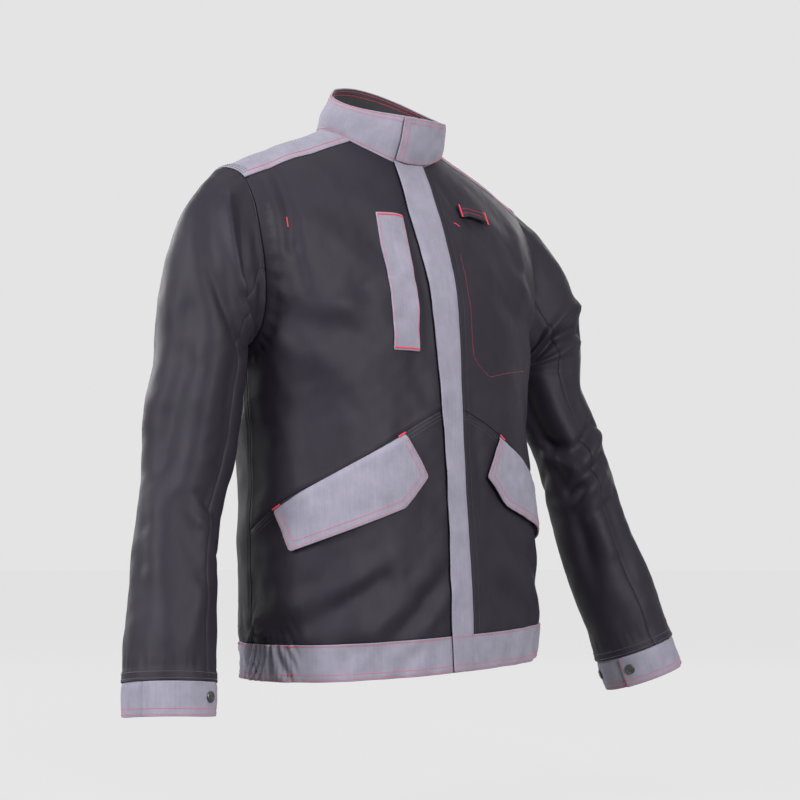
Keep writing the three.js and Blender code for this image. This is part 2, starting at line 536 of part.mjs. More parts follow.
// the rings moved inwards by the cloth's thickness
function shrink(rings, d) {
  return rings.map((ring, k) => {
    const c = ring.reduce((a, p) => a.add(p), v3(0, 0, 0)).multiplyScalar(1 / ring.length);
    return ring.map((p, i) => {
      const a = ring[(i + 1) % RING], b = ring[(i + RING - 1) % RING];
      const along = rings[Math.min(k + 1, rings.length - 1)][i].clone().sub(rings[Math.max(k - 1, 0)][i]);
      const n = a.clone().sub(b).cross(along).normalize();
      if (n.dot(p.clone().sub(c)) < 0) n.negate();
      return p.clone().addScaledVector(n, -d);
    });
  });
}
function sleevePiece(outer, inner, i0, i1, trim = 0) {
  const O = [], I = [];
  for (let i = i0; i <= i1; i++) {
    const k = ((i % RING) + RING) % RING;
    const at = (rs) => rs.map((r) => {
      const p = r[k].clone();
      if (i === i0) p.lerp(r[(k + 1) % RING], trim);
      if (i === i1) p.lerp(r[(k + RING - 1) % RING], trim);
      return p;
    });
    O.push(at(outer));
    I.push(at(inner));
  }
  return slab(O, I);
}
for (const [side, s] of sides) {
  const outer = sleeveRings(side, s), inner = shrink(outer, CLOTH);
  const q = Math.round(RING * 0.3);
  add(side + "_top_sleeve", sleevePiece(outer, inner, -q, q, 0.06), CHARCOAL);
  add(side + "_under_sleeve", sleevePiece(outer, inner, q, RING - q, 0.06), CHARCOAL);

  // cuff: a band on the sleeve's own axis, open where its tab laps
  const path = SLEEVE[side], e = path[path.length - 1], d = path[path.length - 2];
  const t = v3(e[0] - d[0], e[1] - d[1], e[2] - d[2]).normalize();
  const top = v3(e[0], e[1], e[2]).addScaledVector(t, 1.2);
  const e1 = v3(-s, 0, 0);
  e1.addScaledVector(t, -e1.dot(t)).normalize();
  const e2 = v3(0, -1, 0);
  e2.addScaledVector(t, -e2.dot(t)).addScaledVector(e1, -e2.dot(e1)).normalize();
  const at = (deg, v, off) => {
    const a = rad(deg), flare = 0.5 * v;
    return top.clone().addScaledVector(t, v * CUFF_LENGTH).addScaledVector(e1, (e[3] + flare + off) * Math.cos(a)).addScaledVector(e2, (e[4] + flare + off) * Math.sin(a));
  };
  const band = (a0, a1, v0, v1, n, offO, offI) => {
    const O = [], I = [];
    for (let i = 0; i <= n; i++) {
      const a = lerp(a0, a1, i / n);
      O.push([v0, (v0 + v1) / 2, v1].map((v) => at(a, v, offO)));
      I.push([v0, (v0 + v1) / 2, v1].map((v) => at(a, v, offI)));
    }
    return slab(O, I);
  };
  const c = CUFF_TAB[side];
  add(side + "_cuff", band(c.root - 6, c.root - 6 - 357, 0, 1, 30, 0.4, -1.4), GREY);
  add(side + "_cuff_tab", band(c.root, c.end, 0.06, 0.94, 10, 4.2, 2.6), GREY);
  // studs: cap on the tab, spare post further round the cuff, and the post under the cap
  const disc = (deg, o0, o1, r0, r1) => {
    const p = at(deg, 0.5, 0), n = at(deg, 0.5, 1).sub(p).normalize();
    const g = new THREE.LatheGeometry([[0, o0], [r0, o0], [r0, lerp(o0, o1, 0.6)], [r1, o1], [0, o1]].map((k) => new THREE.Vector2(k[0], k[1])), 14);
    g.applyQuaternion(new THREE.Quaternion().setFromUnitVectors(v3(0, 1, 0), n));
    g.translate(p.x, p.y, p.z);
    return solidGeometry(g);
  };
  add(side + "_cuff_cap", disc(c.stud, 4.6, 6.6, 6.5, 5), STUD);
  add(side + "_cuff_post", disc(c.stud, 0.8, 2.2, 4.5, 3.5), STUD);
  add(side + "_cuff_spare_stud", disc(c.spare, 0.8, 2.8, 6.5, 5), STUD);
}

export default jacket;
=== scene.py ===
"""Two-tone work jacket for welding and metal work: the looks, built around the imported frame.

Everything is laid out in millimetres in the hem frame (z = 0 at the bottom of the front hem, y = 0 on the
body's axis, wearer's left = +x, front = -y) and moved into the row frame by row()."""
import json
import math

import bpy
import numpy as np
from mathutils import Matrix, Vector, geometry as mgeo, kdtree

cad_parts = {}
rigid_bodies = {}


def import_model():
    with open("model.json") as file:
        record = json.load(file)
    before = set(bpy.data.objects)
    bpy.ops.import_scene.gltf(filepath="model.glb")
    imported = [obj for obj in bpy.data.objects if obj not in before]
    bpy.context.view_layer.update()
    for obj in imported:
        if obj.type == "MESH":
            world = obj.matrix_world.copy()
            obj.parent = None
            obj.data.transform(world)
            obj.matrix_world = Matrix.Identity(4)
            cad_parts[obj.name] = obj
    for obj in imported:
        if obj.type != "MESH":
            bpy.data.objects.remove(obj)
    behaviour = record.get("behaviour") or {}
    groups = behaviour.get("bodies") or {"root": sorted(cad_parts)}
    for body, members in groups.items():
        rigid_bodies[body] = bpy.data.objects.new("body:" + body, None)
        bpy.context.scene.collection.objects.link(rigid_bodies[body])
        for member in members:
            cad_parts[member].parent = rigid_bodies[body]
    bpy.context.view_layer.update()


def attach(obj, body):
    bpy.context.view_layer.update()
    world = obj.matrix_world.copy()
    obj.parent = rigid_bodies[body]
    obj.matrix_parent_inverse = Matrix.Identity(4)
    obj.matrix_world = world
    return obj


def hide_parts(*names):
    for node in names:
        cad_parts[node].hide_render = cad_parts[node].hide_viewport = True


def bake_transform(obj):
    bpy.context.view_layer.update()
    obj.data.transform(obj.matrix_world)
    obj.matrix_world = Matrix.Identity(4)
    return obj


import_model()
for o in list(bpy.context.scene.objects):
    if o.type in ("LIGHT", "CAMERA"):
        bpy.data.objects.remove(o)

HANGER = np.array([0.0, 73.0, 686.0])
N = 2.35


def row(p):
    return (np.asarray(p, float) - HANGER) / 1000.0


# ------------------------------------------------------------------ camera
def make_camera():
    cam = bpy.data.cameras.new("camera")
    o = bpy.data.objects.new("camera", cam)
    bpy.context.scene.collection.objects.link(o)
    az = math.radians(-40)
    d = np.array([-math.sin(az), math.cos(az), 0.0])
    right = np.array([math.cos(az), math.sin(az), 0.0])
    pos = -2700.0 * d
    pos[2] = 177.0
    fwd = d + 0.00586 * right
    fwd = fwd / np.linalg.norm(fwd)
    fwd = fwd + math.tan(math.radians(3.355)) * np.array([0, 0, 1.0])
    o.location = Vector(row(pos))
    o.rotation_mode = "QUATERNION"
    o.rotation_quaternion = Vector(fwd).to_track_quat("-Z", "Y")
    cam.lens, cam.sensor_width = 95.94, 36.0
    cam.clip_start, cam.clip_end = 0.05, 60
    cam.dof.use_dof = False
    bpy.context.scene.camera = o


make_camera()


# ------------------------------------------------------------------ tables, as in the frame's own shape
def table(p):
    p = np.array(p, float)
    X, Y, n = p[:, 0], p[:, 1], len(p)
    h = np.diff(X)
    d = np.diff(Y) / h
    m = np.empty(n)
    m[0], m[-1] = d[0], d[-1]
    m[1:-1] = (d[:-1] * h[1:] + d[1:] * h[:-1]) / (h[:-1] + h[1:])

    def f(x):
        x = np.clip(np.asarray(x, float), X[0], X[-1])
        i = np.clip(np.searchsorted(X, x, side="left") - 1, 0, n - 2)
        hh = X[i + 1] - X[i]
        t = (x - X[i]) / hh
        t2, t3 = t * t, t * t * t
        return (2 * t3 - 3 * t2 + 1) * Y[i] + (t3 - 2 * t2 + t) * hh * m[i] + (-2 * t3 + 3 * t2) * Y[i + 1] + (t3 - t2) * hh * m[i + 1]

    return f


WIDTH = table([[-20, 204], [0, 205], [48, 206], [150, 206], [300, 206], [400, 216], [480, 234], [560, 247], [600, 250], [720, 235]])
FRONT = table([[-20, 145], [0, 145], [48, 145], [150, 141], [300, 135], [420, 131], [490, 122], [546, 105], [600, 84], [640, 74], [720, 64]])
BACK = table([[-20, 118], [0, 118], [48, 120], [150, 116], [250, 112], [350, 116], [450, 122], [540, 118], [610, 102], [680, 84], [720, 78]])
AXIS_Y = table([[-20, 0], [0, 0], [150, 3], [300, 8], [400, 12], [520, 20], [640, 28], [720, 31]])
SHOULDER = table([[0, 700], [40, 693], [75, 677], [100, 665], [152, 644], [208, 620], [248, 602], [260, 597]])
POCKET_SEAM = table([[0, 322], [6, 316], [20.5, 290], [45.5, 242], [77, 201], [84, 190], [92, 177], [110, 177]])
FLAP_FREE = table([[0, -19], [42, -21], [205, -19], [300, -20], [400, -25], [500, -28], [560, -31], [628, -27]])
FLAP_SEAM = table([[0, 14], [42, 14], [205, 13], [400, 15], [500, 18], [628, 22]])
SIDE_LINE = table([[-40, 6], [0, 6], [150, 9], [300, 14], [400, 18], [520, 26], [800, 27]])
YOKE_FRONT = table([[0, 682], [80, 652], [98, 645], [144, 627], [189, 609], [227, 591], [300, 560]])
YOKE_BACK_Z = 575.0
HEM_BAND = 44.0
ARMHOLE = np.array([[24, 605.5], [10, 601], [-2, 590], [-15, 570], [-25, 548], [-33, 515], [-36, 480], [-33, 445], [-22, 415], [-5, 397], [12, 391], [30, 396], [47, 412], [58, 440], [64, 475], [64, 515], [58, 548], [50, 572], [40, 592], [32, 602]], float)
SLEEVE = {
    "right": np.array([[-275, 19, 380, 54, 64], [-284, 20, 320, 55, 62], [-292, 18, 264, 55, 60], [-316, 5, 196, 48, 51], [-337, -14, 102, 49, 53], [-348, -27, 40, 51, 55], [-351, -31, 2, 52, 56]], float),
    "left": np.array([[272, 8, 380, 51, 60], [284, -8, 325, 48, 52], [293, -25, 285, 45, 47], [303, -38, 233, 45, 47], [313, -50, 172, 48, 50], [340, -75, 72, 52, 53], [356, -86, 18, 52, 53]], float),
}
CAP_SPAN = table([[0, 214], [16, 198], [32, 167], [50, 136], [70, 114], [90, 107]])
CUFF_LENGTH = 44.0
CUFF_TAB = {"right": dict(root=158, end=60, stud=73, spare=8), "left": dict(root=112, end=16, stud=28, spare=-40)}
SNAP_Z, SNAP_X = [88, 205, 322, 440, 552], 13.0
SIDES = (("right", -1.0), ("left", 1.0))


def smooth(t):
    t = np.clip(t, 0, 1)
    return t * t * (3 - 2 * t)


def lerp(a, b, t):
    return a + (b - a) * t


# ------------------------------------------------------------------ the body's surface
def rise(x, z, back, off=0.0):
    t = np.clip((SHOULDER(np.abs(x)) + off - z) / np.where(back, 70.0, 110.0), 0, 1)
    return np.sqrt(np.maximum(0, 1 - (1 - t) ** 2))


def torso(phi, z):
    s, c = np.sin(np.radians(phi)), np.cos(np.radians(phi))
    r = (np.abs(s) ** N + np.abs(c) ** N) ** (-1 / N)
    x = WIDTH(z) * s * r
    back = c < 0
    b = np.where(back, BACK(z), FRONT(z))
    return np.stack([x, AXIS_Y(z) - b * c * r * rise(x, z, back), z + 0 * x], -1)


def torso_xz(x, z, back=False):
    u = np.minimum(np.abs(x) / WIDTH(z), 0.9995)
    v = (1 - u ** N) ** (1 / N)
    return np.stack([x + 0 * z, AXIS_Y(z) + (BACK(z) if back else -FRONT(z)) * v * rise(x, z, back), z + 0 * x], -1)


def height_at(x, y):
    x, y = np.asarray(x, float), np.asarray(y, float)
    back = y > AXIS_Y(660)
    lo, hi = np.full(x.shape, 520.0), SHOULDER(np.abs(x)) + 0.0
    for _ in range(45):
        m = (lo + hi) / 2
        yf, yb = torso_xz(x, m, False)[..., 1], torso_xz(x, m, True)[..., 1]
        up = np.where(back, yb - y > 0, yf - y < 0)
        lo, hi = np.where(up, m, lo), np.where(up, hi, m)
    return lo


def side_at(y, z):
    y, z = np.asarray(y, float), np.asarray(z, float)
    back = y > AXIS_Y(z)
    lo, hi = np.full(y.shape, 120.0), WIDTH(z) * 0.9999
    for _ in range(45):
        m = (lo + hi) / 2
        yy = np.where(back, torso_xz(m, z, True)[..., 1], torso_xz(m, z, False)[..., 1])
        up = np.abs(yy - AXIS_Y(z)) - np.abs(y - AXIS_Y(z)) > 0
        lo, hi = np.where(up, m, lo), np.where(up, hi, m)
    return lo


# angle round the body against length round it, so that the flat layout keeps its proportions
_PHI = np.linspace(-200, 400, 2401)
_Q = torso(_PHI, np.full(_PHI.shape, 350.0))
_ARC = np.concatenate([[0], np.cumsum(np.linalg.norm(np.diff(_Q, axis=0), axis=1))])
_ARC -= np.interp(0, _PHI, _ARC)


def arc_of(phi):
    return np.interp(phi, _PHI, _ARC)


def phi_of(u):
    return np.interp(u, _ARC, _PHI)


def phi_from(x, y, z):
    """angle round the body of a point on its surface"""
    back = y > AXIS_Y(z)
    g = np.maximum(rise(x, z, back), 0.05)
    cx = x / WIDTH(z)
    cy = (AXIS_Y(z) - y) / (np.where(back, BACK(z), FRONT(z)) * g)
    return np.degrees(np.arctan2(cx, cy))


def noise_field(seed, scale, n=16):
    r = np.random.default_rng(seed)
    k = r.normal(size=(n, 3))
    k /= np.linalg.norm(k, axis=1)[:, None]
    k *= (2 * math.pi / scale) * r.uniform(0.6, 1.4, n)[:, None]
    ph = r.uniform(0, 2 * math.pi, n)
    return lambda p: np.sin(p @ k.T + ph).sum(-1) / math.sqrt(n / 2)


N_BIG, N_MID, N_FINE = noise_field(3, 150), noise_field(11, 62), noise_field(23, 24)


def bump(A, a, b, w, amp):
    """soft ridge (amp above 0) or valley (below 0) along a line between a and b"""
    a, b = np.array(a, float), np.array(b, float)
    d = b - a
    t = np.clip(((A - a) @ d) / (d @ d), 0, 1)
    dist = np.linalg.norm(A - (a + t[:, None] * d), axis=1)
    taper = 0.55 + 0.45 * np.sin(math.pi * np.clip(0.08 + 0.84 * t, 0, 1))
    return amp * np.exp(-((dist / w) ** 2)) * taper


FRONT_FOLDS = [
    # wearer's right front: below the pocket flap
    ((-197, 62), (-112, 118), 13, -5.0), ((-186, 86), (-100, 140), 15, 3.0), ((-160, 44), (-110, 70), 12, 2.2),
    ((-98, 48), (-30, 116), 13, -4.2), ((-70, 44), (-14, 98), 12, 2.4), ((-88, 78), (-30, 140), 16, 2.0),
    ((-196, 150), (-188, 60), 13, 2.0),
    # wearer's right chest: from the armpit and the outline of the chest pocket's bag
    ((-214, 425), (-120, 398), 17, -3.4), ((-212, 452), (-140, 446), 14, 2.6), ((-208, 405), (-150, 350), 16, 2.4),
    ((-190, 600), (-196, 505), 7, -3.2), ((-211, 585), (-212, 480), 8, 2.8), ((-196, 505), (-186, 452), 7, -2.4),
    ((-180, 447), (-120, 462), 9, -1.9), ((-120, 462), (-90, 478), 10, -1.4), ((-170, 430), (-100, 440), 14, 1.7),
    ((-150, 600), (-60, 560), 18, 1.8), ((-168, 570), (-80, 520), 20, -1.5), ((-96, 330), (-120, 220), 22, 1.8),
    ((-36, 560), (-34, 400), 8, -1.6), ((-180, 340), (-150, 250), 24, -2.2), ((-60, 380), (-40, 330), 14, -1.5),
    # wearer's left front
    ((214, 420), (110, 455), 16, -3.0), ((206, 450), (130, 500), 15, 2.2), ((180, 560), (150, 440), 15, 2.0),
    ((40, 612), (70, 560), 6, -2.2), ((30, 600), (48, 540), 6, 1.7), ((140, 60), (60, 96), 13, -3.4),
    ((150, 90), (70, 128), 14, 2.2), ((190, 70), (150, 130), 14, -2.6), ((34, 330), (38, 200), 9, -1.4),
    ((120, 350), (90, 300), 18, 1.6), ((60, 190), (100, 150), 16, -2.0), ((150, 330), (196, 260), 15, -2.2),
]
BACK_FOLDS = [
    ((-150, 520), (-108, 330), 20, -4.0), ((150, 520), (112, 330), 20, -4.0), ((-110, 300), (-126, 90), 20, -3.4),
    ((112, 300), (120, 80), 20, -3.6), ((-60, 360), (-48, 120), 24, 2.4), ((56, 330), (40, 110), 24, 2.2),
    ((-190, 420), (-120, 470), 16, -3.4), ((190, 420), (124, 470), 16, -3.2), ((-200, 300), (-150, 210), 18, 2.6),
    ((200, 290), (150, 190), 18, 2.6), ((0, 240), (6, 80), 20, -2.6), ((-170, 60), (-110, 96), 13, -3.2),
    ((160, 56), (96, 100), 13, -3.2), ((-40, 56), (30, 84), 13, -2.6), ((-90, 520), (90, 500), 26, 1.6),
]


def armhole_curve(n=260):
    m = len(ARMHOLE)
    f = np.arange(n) / n * m
    k = f.astype(int)
    t = (f - k)[:, None]
    P = lambda j: ARMHOLE[(k + j) % m]
    a, b, d, e = P(-1), P(0), P(1), P(2)
    return 0.5 * (2 * b + (d - a) * t + (2 * a - 5 * b + 4 * d - e) * t * t + (3 * b - 3 * d + e - a) * t ** 3)


ARM_YZ = armhole_curve()
ARM_X = side_at(ARM_YZ[:, 0], ARM_YZ[:, 1])
ARM3 = np.column_stack([ARM_X, ARM_YZ])


def arm_distance(P):
    """distance to the nearer armhole seam, and the place along it"""
    Q = np.column_stack([np.abs(P[:, 0]), P[:, 1:]])
    near = (Q[:, 0] > 120) & (Q[:, 2] > 330)
    d, i = np.full(len(P), 999.0), np.zeros(len(P))
    if near.any():
        D = ((Q[near][:, None, :] - ARM3[None]) ** 2).sum(-1)
        d[near], i[near] = np.sqrt(D.min(1)), D.argmin(1)
    return d, i


def folds(P):
    """how far the cloth of the body stands out of its plain shape, in mm"""
    x, y, z = P.T
    A = P[:, [0, 2]]
    fr = smooth((AXIS_Y(z) + 8 - y) / 45)
    bk = smooth((y - AXIS_Y(z) + 8) / 45)
    out = 1.25 * N_BIG(P) + 0.8 * N_MID(P) + 0.22 * N_FINE(P)
    out *= 0.55 + 0.45 * smooth((600 - z) / 120)
    f, b = np.zeros(len(P)), np.zeros(len(P))
    for p in FRONT_FOLDS:
        f += 1.45 * bump(A, *p)
    for p in BACK_FOLDS:
        b += 1.3 * bump(A, *p)
    out += f * fr + b * bk
    # gathers by the side elastics, and the softer ones along the rest of the hem
    ph = phi_from(x, y, np.minimum(z, 500))
    arc = arc_of(ph)
    side = smooth((np.abs(ph) - 62) / 9) * smooth((120 - np.abs(ph)) / 8)
    up = np.exp(-((np.maximum(z - 44, 0) / 24) ** 1.4))
    skew = arc + 0.55 * (z - 22) * np.sin(arc / 19.0 + 0.8)
    wave = np.sin(skew * 2 * math.pi / 12.5 + 1.9 * np.sin(arc / 11.0)) * (0.72 + 0.42 * np.sin(arc / 6.7 + z / 17.0))
    out += side * up * (2.7 * wave + 0.8 * np.sin(arc * 2 * math.pi / 6.1 + z / 9) - 2.2 * np.exp(-(((z - 22) / 17) ** 2)))
    rest = (1 - side) * np.exp(-((np.maximum(z - 44, 0) / 22) ** 1.5)) * smooth((np.abs(x) - 30) / 30)
    out += rest * (1.7 * np.sin(arc / 15 + 0.9 * np.sin(arc / 31.0) + z / 19) + 0.8 * np.sin(arc / 6.6 - z / 13))
    out += 2.0 * np.exp(-(((z - 62) / 22) ** 2)) * smooth((np.abs(x) - 20) / 60)
    # calm near the front closure and the neck
    out *= 1 - 0.72 * np.exp(-((x / 26) ** 2)) * (y < AXIS_Y(z))
    neck = np.sqrt((x / 86) ** 2 + ((y - 20) / 65) ** 2)
    out *= 1 - np.exp(-((np.maximum(neck - 1, 0) / 0.28) ** 2)) * (z > 560)
    # armhole: the seam itself lies flat, with puckers beside it
    d, i = arm_distance(P)
    out *= 0.12 + 0.88 * smooth(d / 26)
    s = i / len(ARM3) * 620
    out += 0.85 * np.sin(s * 2 * math.pi / 15.5 + 1.5 * np.sin(s / 21)) * np.exp(-(((d - 13) / 8) ** 2)) * (d < 90) * (1 - smooth((z - 555) / 25))
    out += (1.3 * np.exp(-((d / 7) ** 2)) - 0.8 * np.exp(-(((d - 13.5) / 3) ** 2)) * (d < 90)) * (1 - 0.85 * smooth((z - 555) / 25))
    return out


def warp_body(P):
    """the hem hangs a little lower on the wearer's right, and the left shoulder is the lower one"""
    P = P.copy()
    P[:, 2] += 0.045 * P[:, 0] * smooth((330 - P[:, 2]) / 290)
    return warp_top(P)


def warp_top(P):
    P = P.copy()
    P[:, 2] -= 0.021 * np.clip(P[:, 0], -300, 300) * smooth((P[:, 2] - 400) / 180)
    return P


class Surf:
    """flat layout (u, v in mm) -> place in the hem frame"""

    def __init__(self, f, outward, disp=None, warp=warp_body):
        self.f, self.outward, self.disp, self.warp, self.sign = f, outward, disp, warp, None

    def at(self, uv):
        uv = np.asarray(uv, float)
        e = 0.5
        P = self.f(uv)
        du = self.f(uv + [e, 0]) - self.f(uv - [e, 0])
        dv = self.f(uv + [0, e]) - self.f(uv - [0, e])
        n = np.cross(du, dv)
        n /= np.maximum(np.linalg.norm(n, axis=1), 1e-9)[:, None]
        if self.sign is None:
            self.sign = 1.0 if np.median((n * self.outward(P)).sum(1)) > 0 else -1.0
        return P, n * self.sign

    def point(self, uv, off, extra=None):
        P, n = self.at(uv)
        d = np.zeros(len(P)) + off
        if self.disp is not None:
            d = d + self.disp(P)
        if extra is not None:
            d = d + extra
        return self.warp(P + n * d[:, None]), n


from_axis = lambda P: np.column_stack([P[:, 0], P[:, 1] - AXIS_Y(P[:, 2]), 0 * P[:, 0]])
BODY = Surf(lambda uv: torso(phi_of(uv[:, 0]), uv[:, 1]), from_axis, folds)
FRONT_XZ = Surf(lambda uv: torso_xz(uv[:, 0], uv[:, 1]), from_axis, folds)
BACK_XZ = Surf(lambda uv: torso_xz(uv[:, 0], uv[:, 1], True), from_axis, folds)


def tau_of(v):
    a = np.abs(v)
    return np.sign(v) * (-95 + np.sqrt(95 ** 2 + 100 * a)) / 50


def v_of(tau):
    a = np.abs(tau)
    return np.sign(tau) * (95 * a + 25 * a * a)


def yoke_f(uv):
    x, tau = uv[:, 0], tau_of(uv[:, 1])
    back = tau > 0
    z = SHOULDER(np.abs(x)) - np.where(back, 70.0, 110.0) * tau * tau
    u = np.minimum(np.abs(x) / WIDTH(z), 0.9995)
    v = (1 - u ** N) ** (1 / N)
    g = np.minimum(np.abs(tau), 1.0)
    g = g * np.sqrt(np.maximum(2 - g * g, 0))
    return np.column_stack([x, AXIS_Y(z) + np.sign(tau) * np.where(back, BACK(z), FRONT(z)) * v * g, z])


YOKE = Surf(yoke_f, lambda P: np.column_stack([0 * P[:, 0], 0 * P[:, 0], 1 + 0 * P[:, 0]]), folds)


def yoke_uv(x, y, z):
    back = y > AXIS_Y(z)
    t = np.sqrt(np.maximum(SHOULDER(np.abs(x)) - z, 0) / np.where(back, 70.0, 110.0))
    return np.column_stack([x, v_of(np.where(back, t, -t))])


def body_uv(x, y, z, behind=False):
    ph = phi_from(x, y, z)
    if behind:
        ph = np.where(ph < 0, ph + 360, ph)
    return np.column_stack([arc_of(ph), z])


# ------------------------------------------------------------------ collar
def collar_f(uv):
    th = np.radians(uv[:, 0] / 1.4)
    v = uv[:, 1] / 66.0
    s, c = np.sin(th), np.cos(th)
    bx, by = 86 * s, 20 - 65 * c
    bz = height_at(bx, by) + 1.5
    tx, ty, tz = 78 * s, -62 * c, 706 - 28 * c + 9 * c * c
    belly = 2.5 * np.sin(math.pi * np.clip(v, 0, 1))
    return np.column_stack([lerp(bx, tx, v) + belly * s, lerp(by, ty, v) - belly * c, lerp(bz, tz, v)])


def collar_disp(P):
    return 0.55 * N_MID(P * 1.4) + 0.28 * N_FINE(P) + 0.5 * N_BIG(P)


COLLAR = Surf(collar_f, lambda P: np.column_stack([P[:, 0], P[:, 1] - 10, 0 * P[:, 0]]), collar_disp, warp_top)


# ------------------------------------------------------------------ sleeves
RING = 30


def sleeve_rings(side, s):
    path = SLEEVE[side]
    n = len(ARMHOLE)
    out = []
    f = np.arange(RING) / RING * n
    k = f.astype(int)
    t = (f - k)[:, None]
    P = lambda j: ARMHOLE[(k + j) % n]
    a, b, d, e = P(-1), P(0), P(1), P(2)
    yz = 0.5 * (2 * b + (d - a) * t + (2 * a - 5 * b + 4 * d - e) * t * t + (3 * b - 3 * d + e - a) * t ** 3)
    c = np.array([13.0, 498.0])
    rel = yz - c
    l = np.linalg.norm(rel, axis=1)[:, None]
    x = side_at(yz[:, 0], yz[:, 1])
    # tucked under the body's edge, then on the seam, then the CAD's own first ring
    on = lambda q: np.column_stack([side_at(q[:, 0], q[:, 1]), q])
    seam = on(yz)
    reach = np.linalg.norm(on(yz + rel / l * 1.5) - seam, axis=1) / 1.5
    g = yz + rel / l * np.minimum(5.0, 4.6 / reach)[:, None]
    under = on(g)
    gx = lambda q, k: (side_at(q[:, 1] + k[0], q[:, 2] + k[1]) - side_at(q[:, 1] - k[0], q[:, 2] - k[1])) / 1.6
    nrm = np.column_stack([np.ones(RING), -gx(under, (0.8, 0)), -gx(under, (0, 0.8))])
    nrm /= np.linalg.norm(nrm, axis=1)[:, None]
    nr2 = np.column_stack([np.ones(RING), -gx(seam, (0.8, 0)), -gx(seam, (0, 0.8))])
    nr2 /= np.linalg.norm(nr2, axis=1)[:, None]
    under = under - nrm * 2.9
    lip = seam - nr2 * 1.0
    out.append(under * [s, 1, 1])
    out.append(lip * [s, 1, 1])
    i1 = yz - rel / l * 3.4
    out.append(np.column_stack([s * (x + 2.4), i1]))
    arm = np.column_stack([s * (x + 3.0), yz - rel / l * 2.2])
    for lean in (16, 32, 50, 70):
        kk, an, L = lean / 90, math.radians(lean), float(CAP_SPAN(lean))
        pit = np.array([s * (219 + 3 * kk), lerp(12, path[0][1], kk), 389 - 8 * kk])
        e0 = np.array([s * math.sin(an), 0, math.cos(an)])
        c0 = pit + e0 * L / 2
        ry = lerp(52, path[0][4], min(1, kk * 1.25))
        tt = np.arange(RING) / RING * 2 * math.pi
        ring = c0 + np.outer(L / 2 * np.cos(tt), e0)
        ring[:, 1] -= ry * np.sin(tt)
        w = max(0, 1 - lean / 40) * 0.55
        ring[:, 1] = lerp(ring[:, 1], arm[:, 1], w)
        out.append(ring)
    for i, q in enumerate(path):
        A, B = path[max(0, i - 1)], path[min(len(path) - 1, i + 1)]
        tg = np.array([0, 0, -1.0]) if i == 0 else (B - A)[:3].copy()
        if i == 1:
            tg = lerp(tg, np.array([0, 0, -np.linalg.norm(tg)]), 0.4)
        e1, e2, _ = sleeve_axes(tg, s)
        tt = np.arange(RING) / RING * 2 * math.pi
        out.append(q[:3] + np.outer(q[3] * np.cos(tt), e1) + np.outer(q[4] * np.sin(tt), e2))
    # one more ring, so that the sleeve's end reaches over the cuff's seam
    q, r = path[-1], path[-2]
    tg = (q - r)[:3]
    tg = tg / np.linalg.norm(tg)
    e1, e2, _ = sleeve_axes(tg, s)
    tt = np.arange(RING) / RING * 2 * math.pi
    out.append(q[:3] + tg * 5 + np.outer((q[3] + 0.6) * np.cos(tt), e1) + np.outer((q[4] + 0.6) * np.sin(tt), e2))
    return np.array(out)


def sleeve_axes(tg, s):
    t = tg / np.linalg.norm(tg)
    e1 = np.array([s, 0, 0.0])
    e1 = e1 - t * (e1 @ t)
    e1 /= np.linalg.norm(e1)
    e2 = np.array([0, -1.0, 0])
    e2 = e2 - t * (e2 @ t) - e1 * (e2 @ e1)
    e2 /= np.linalg.norm(e2)
    return e1, e2, t


SLEEVE_FOLDS = {
    # (angle deg, mm from the armhole) pairs; angle 0 = outer side, 90 = front, 180 = towards the body
    "right": [
        ((40, 30), (92, 66), 5.5, 7.5), ((92, 66), (136, 100), 6.5, 6.5), ((58, 20), (108, 58), 6, -3.5), ((26, 48), (118, 140), 12, -7.0), ((100, 40), (150, 70), 8, -3.5),
        ((34, 120), (24, 300), 15, -5.5), ((70, 140), (62, 320), 15, 4.2), ((100, 130), (104, 330), 13, -3.6),
        ((-8, 150), (-14, 330), 17, 2.6), ((60, 350), (92, 420), 15, -3.0), ((24, 350), (50, 470), 18, 2.6),
        ((84, 330), (130, 356), 8, -3.2), ((70, 352), (124, 384), 8, 2.4), ((96, 372), (150, 392), 7, -2.2),
        ((0, 380), (14, 480), 14, -2.4), ((100, 440), (84, 500), 12, 2.2), ((-60, 60), (-110, 130), 12, 4.0),
        ((-40, 80), (-96, 170), 13, -4.0), ((-80, 200), (-70, 330), 16, 3.4), ((-50, 220), (-44, 340), 14, -3.4),
        ((-110, 330), (-50, 352), 9, -3.0), ((-120, 360), (-60, 380), 9, 2.4), ((200, 300), (240, 330), 8, -2.4),
    ],
    "left": [
        ((172, 62), (116, 58), 7, 6.0), ((116, 58), (52, 84), 7, 7.0), ((178, 92), (110, 80), 8, -7.2), ((110, 82), (54, 106), 7, -7.0),
        ((150, 112), (62, 112), 7, 5.0), ((160, 136), (90, 142), 9, -3.0), ((36, 92), (60, 84), 8, 3.0), ((150, 20), (136, 60), 8, -3.0),
        ((172, 130), (168, 300), 14, -5.0), ((132, 140), (122, 400), 15, 4.2), ((88, 160), (92, 230), 14, -2.8),
        ((62, 232), (124, 262), 8, -6.4), ((60, 250), (118, 282), 8, 5.6), ((84, 282), (158, 312), 8, -5.4), ((90, 302), (150, 332), 8, 4.4),
        ((180, 236), (132, 262), 8, -4.2), ((184, 258), (140, 284), 8, 3.6), ((70, 330), (130, 352), 8, -3.4),
        ((150, 330), (160, 440), 13, -3.2), ((96, 350), (110, 470), 14, -2.4), ((70, 360), (60, 470), 15, 2.4),
        ((-60, 60), (-110, 130), 12, 4.0), ((-40, 80), (-96, 170), 13, -4.0), ((-80, 200), (-70, 330), 16, 3.4),
        ((-50, 220), (-44, 340), 14, -3.4), ((-120, 330), (-60, 356), 9, -3.0), ((200, 280), (250, 320), 9, -2.8),
    ],
}


